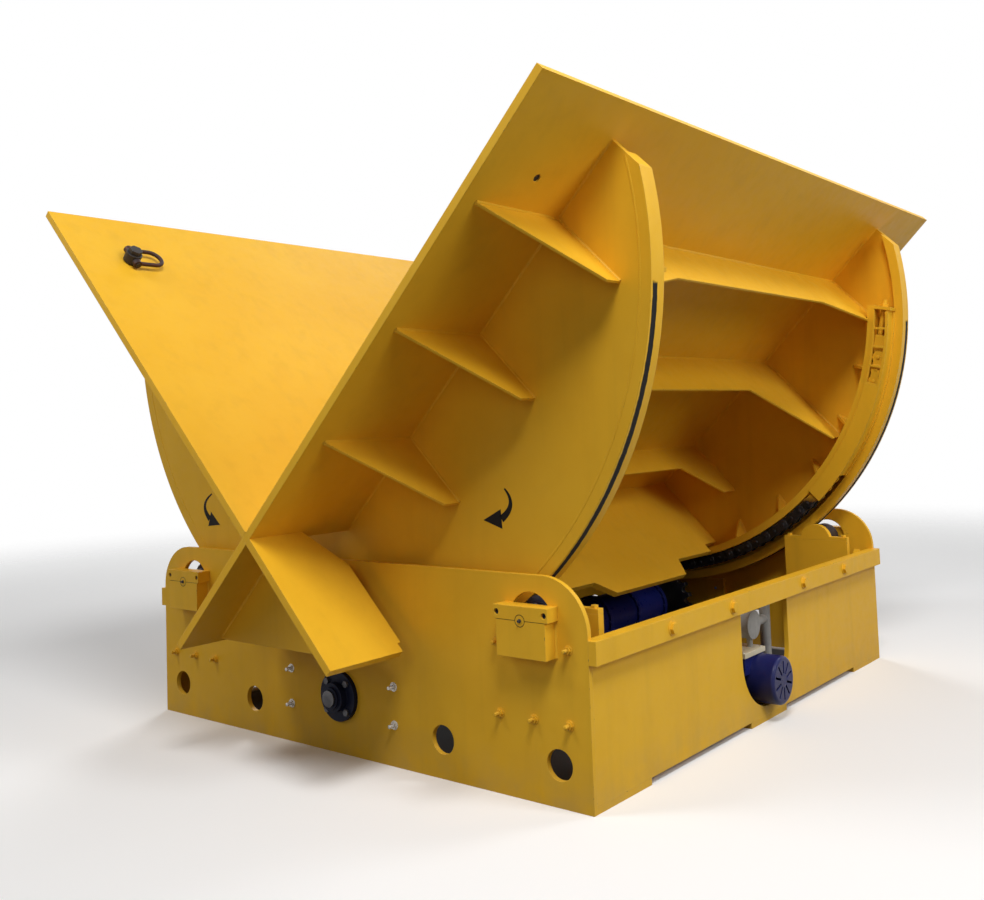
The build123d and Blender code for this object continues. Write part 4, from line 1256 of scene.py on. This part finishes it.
def addFan(look):
    middle = np.array([nodeFaces("fan_cowl", "x")[1] - look["back"], 0.0, motorZ])
    hub = {"profile": ((look["hub"], 0.0), (look["hub"], look["deep"])), "segments": look["hubSegments"]}
    addTurned("fanHub", middle, (1, 0, 0), hub, "black_iron", blackIron)
    # a blade is a flat box, carried from its root to its tip
    angle = fullTurn(look["blades"])
    out = columns(0.0, np.cos(angle), np.sin(angle))
    ahead = columns(0.0, -np.sin(angle), np.cos(angle))
    blade = unit(look["lean"] * ahead + [1.0, 0.0, 0.0])
    normal = np.cross(out, blade)
    share = np.array([look["root"], look["reach"]])
    corners = np.array([(0.0, -0.5), (1.0, -0.5), (1.0, 0.5), (0.0, 0.5)]) * [look["deep"], look["thick"]]
    rings = (
        middle
        + out[:, None, None] * share[:, None, None]
        + blade[:, None, None] * corners[:, :1]
        + normal[:, None, None] * corners[:, 1:]
    )
    addPiece("fanBlades", rings, "base", blackIron)


addFlangeBolts(flangeBolts)
addPlugs(plugLook)
addLidScrews(lidScrews)
addEyeBolt(eyeLook)
addLocknuts(locknutLook)
addFan(fanLook)
print("gearmotor fittings set")


# floor, world and lamps
stageLook = {
    "floorRadius": 26.0,
    "floorPoints": 96,
    "fadeFrom": 3.5,
    "fadeTo": 13.0,
    "floorColour": 0.95,  # as the camera sees it
    "floorBounce": 0.20,  # as it lights the object
    "underBase": (1.47, 1.60),  # half length and width of the painted shade inside the base
    "underEdge": 0.08,
    "underShade": 0.90,
    "ambient": 0.05,
}


def seenRay(tree):
    # 1 for what the camera, a reflection or glass sees
    ray = addNode(tree, "LightPath").outputs
    through = figure(tree, "MAXIMUM", ray["Is Glossy Ray"], ray["Is Transmission Ray"])
    return figure(tree, "MAXIMUM", ray["Is Camera Ray"], through)


def floorMaterial(look):
    # pale by the object, clear far out, and darker inside the base as painted shade
    material = bpy.data.materials.new("paleFloor")
    tree = emptyTree(material)
    place = objectPlace(tree)
    reach = addNode(tree, "VectorMath", {0: place}, operation="LENGTH").outputs["Value"]
    limits = {"Value": reach, "From Min": look["fadeFrom"], "From Max": look["fadeTo"]}
    fade = addNode(tree, "MapRange", limits, interpolation_type="SMOOTHSTEP").outputs["Result"]
    level = stretch(tree, seenRay(tree), 0.0, 1.0, look["floorBounce"], look["floorColour"])
    # painted shade: the floor darkens inside the base's footprint
    shadeInsideBase = look["underShade"]
    for axis, limit in zip("XY", look["underBase"]):
        size = figure(tree, "ABSOLUTE", axisOf(tree, place, axis))
        shadeInsideBase = figure(tree, "MULTIPLY", stretch(tree, size, limit, limit - look["underEdge"]), shadeInsideBase)
    level = figure(tree, "MULTIPLY", level, figure(tree, "SUBTRACT", 1.0, shadeInsideBase))
    pale = addNode(tree, "BsdfDiffuse", {"Color": level})
    clear = addNode(tree, "BsdfTransparent")
    mix = addNode(tree, "MixShader", {0: fade, 1: pale.outputs[0], 2: clear.outputs[0]})
    tree.links.new(mix.outputs[0], addNode(tree, "OutputMaterial").inputs["Surface"])
    return material


def addFloor(look):
    # a disc: radius times (cosine, sine), with one ring of points and a middle point
    count = look["floorPoints"]
    ring = columns(np.cos(fullTurn(count)), np.sin(fullTurn(count)), 0.0) * look["floorRadius"]
    first = np.arange(count)
    faces = columns(0, first + 1, (first + 1) % count + 1).astype(int)
    mesh = bpy.data.meshes.new("floor")
    mesh.from_pydata([(0.0, 0.0, 0.0), *ring.tolist()], [], faces.tolist())
    mesh.materials.append(floorMaterial(look))
    floor = bpy.data.objects.new("floor", mesh)
    scene.collection.objects.link(floor)


def addWorld(look):
    # white to the camera and in reflections, a plain level of light to everything else
    world = bpy.data.worlds.new("studio")
    tree = emptyTree(world)
    level = stretch(tree, seenRay(tree), 0.0, 1.0, look["ambient"], 1.0)
    sky = addNode(tree, "Background", {"Color": (1.0, 1.0, 1.0), "Strength": level})
    tree.links.new(sky.outputs[0], addNode(tree, "OutputWorld").inputs["Surface"])
    scene.world = world


lamps = {  # place, size across and power
    "keyLamp": ((4.5, -4.5, 8.9), 3.0, 462.0),
    "leftLamp": ((-3.5, -6.0, 8.4), 3.0, 215.0),
    "rightLamp": ((8.7, 0.0, 6.2), 3.0, 200.0),
    "farLamp": ((5.0, 5.0, 8.2), 3.0, 175.0),
    "lowLeftLamp": ((-5.0, -8.0, 4.5), 3.0, 48.0),
    "lowRightLamp": ((9.6, 0.0, 3.8), 3.0, 110.0),
    "frontLamp": ((3.0, -9.0, 4.2), 3.0, 60.0),
    "backLamp": ((-6.0, 6.0, 6.5), 4.0, 350.0),
}
lampAim = (0.0, 0.0, 1.2)


def addLamp(name, place, size, power):
    lamp = bpy.data.lights.new(name, "AREA")
    lamp.shape = "DISK"
    lamp.size = size
    lamp.energy = power
    back = unit(np.subtract(place, lampAim))
    side = unit(np.cross([0.0, 0.0, 1.0], back))
    stand(name, lamp, side, np.cross(back, side), back, place)


addFloor(stageLook)
addWorld(stageLook)
for lampName, lampLook in lamps.items():
    addLamp(lampName, *lampLook)
print("stage and lamps set")
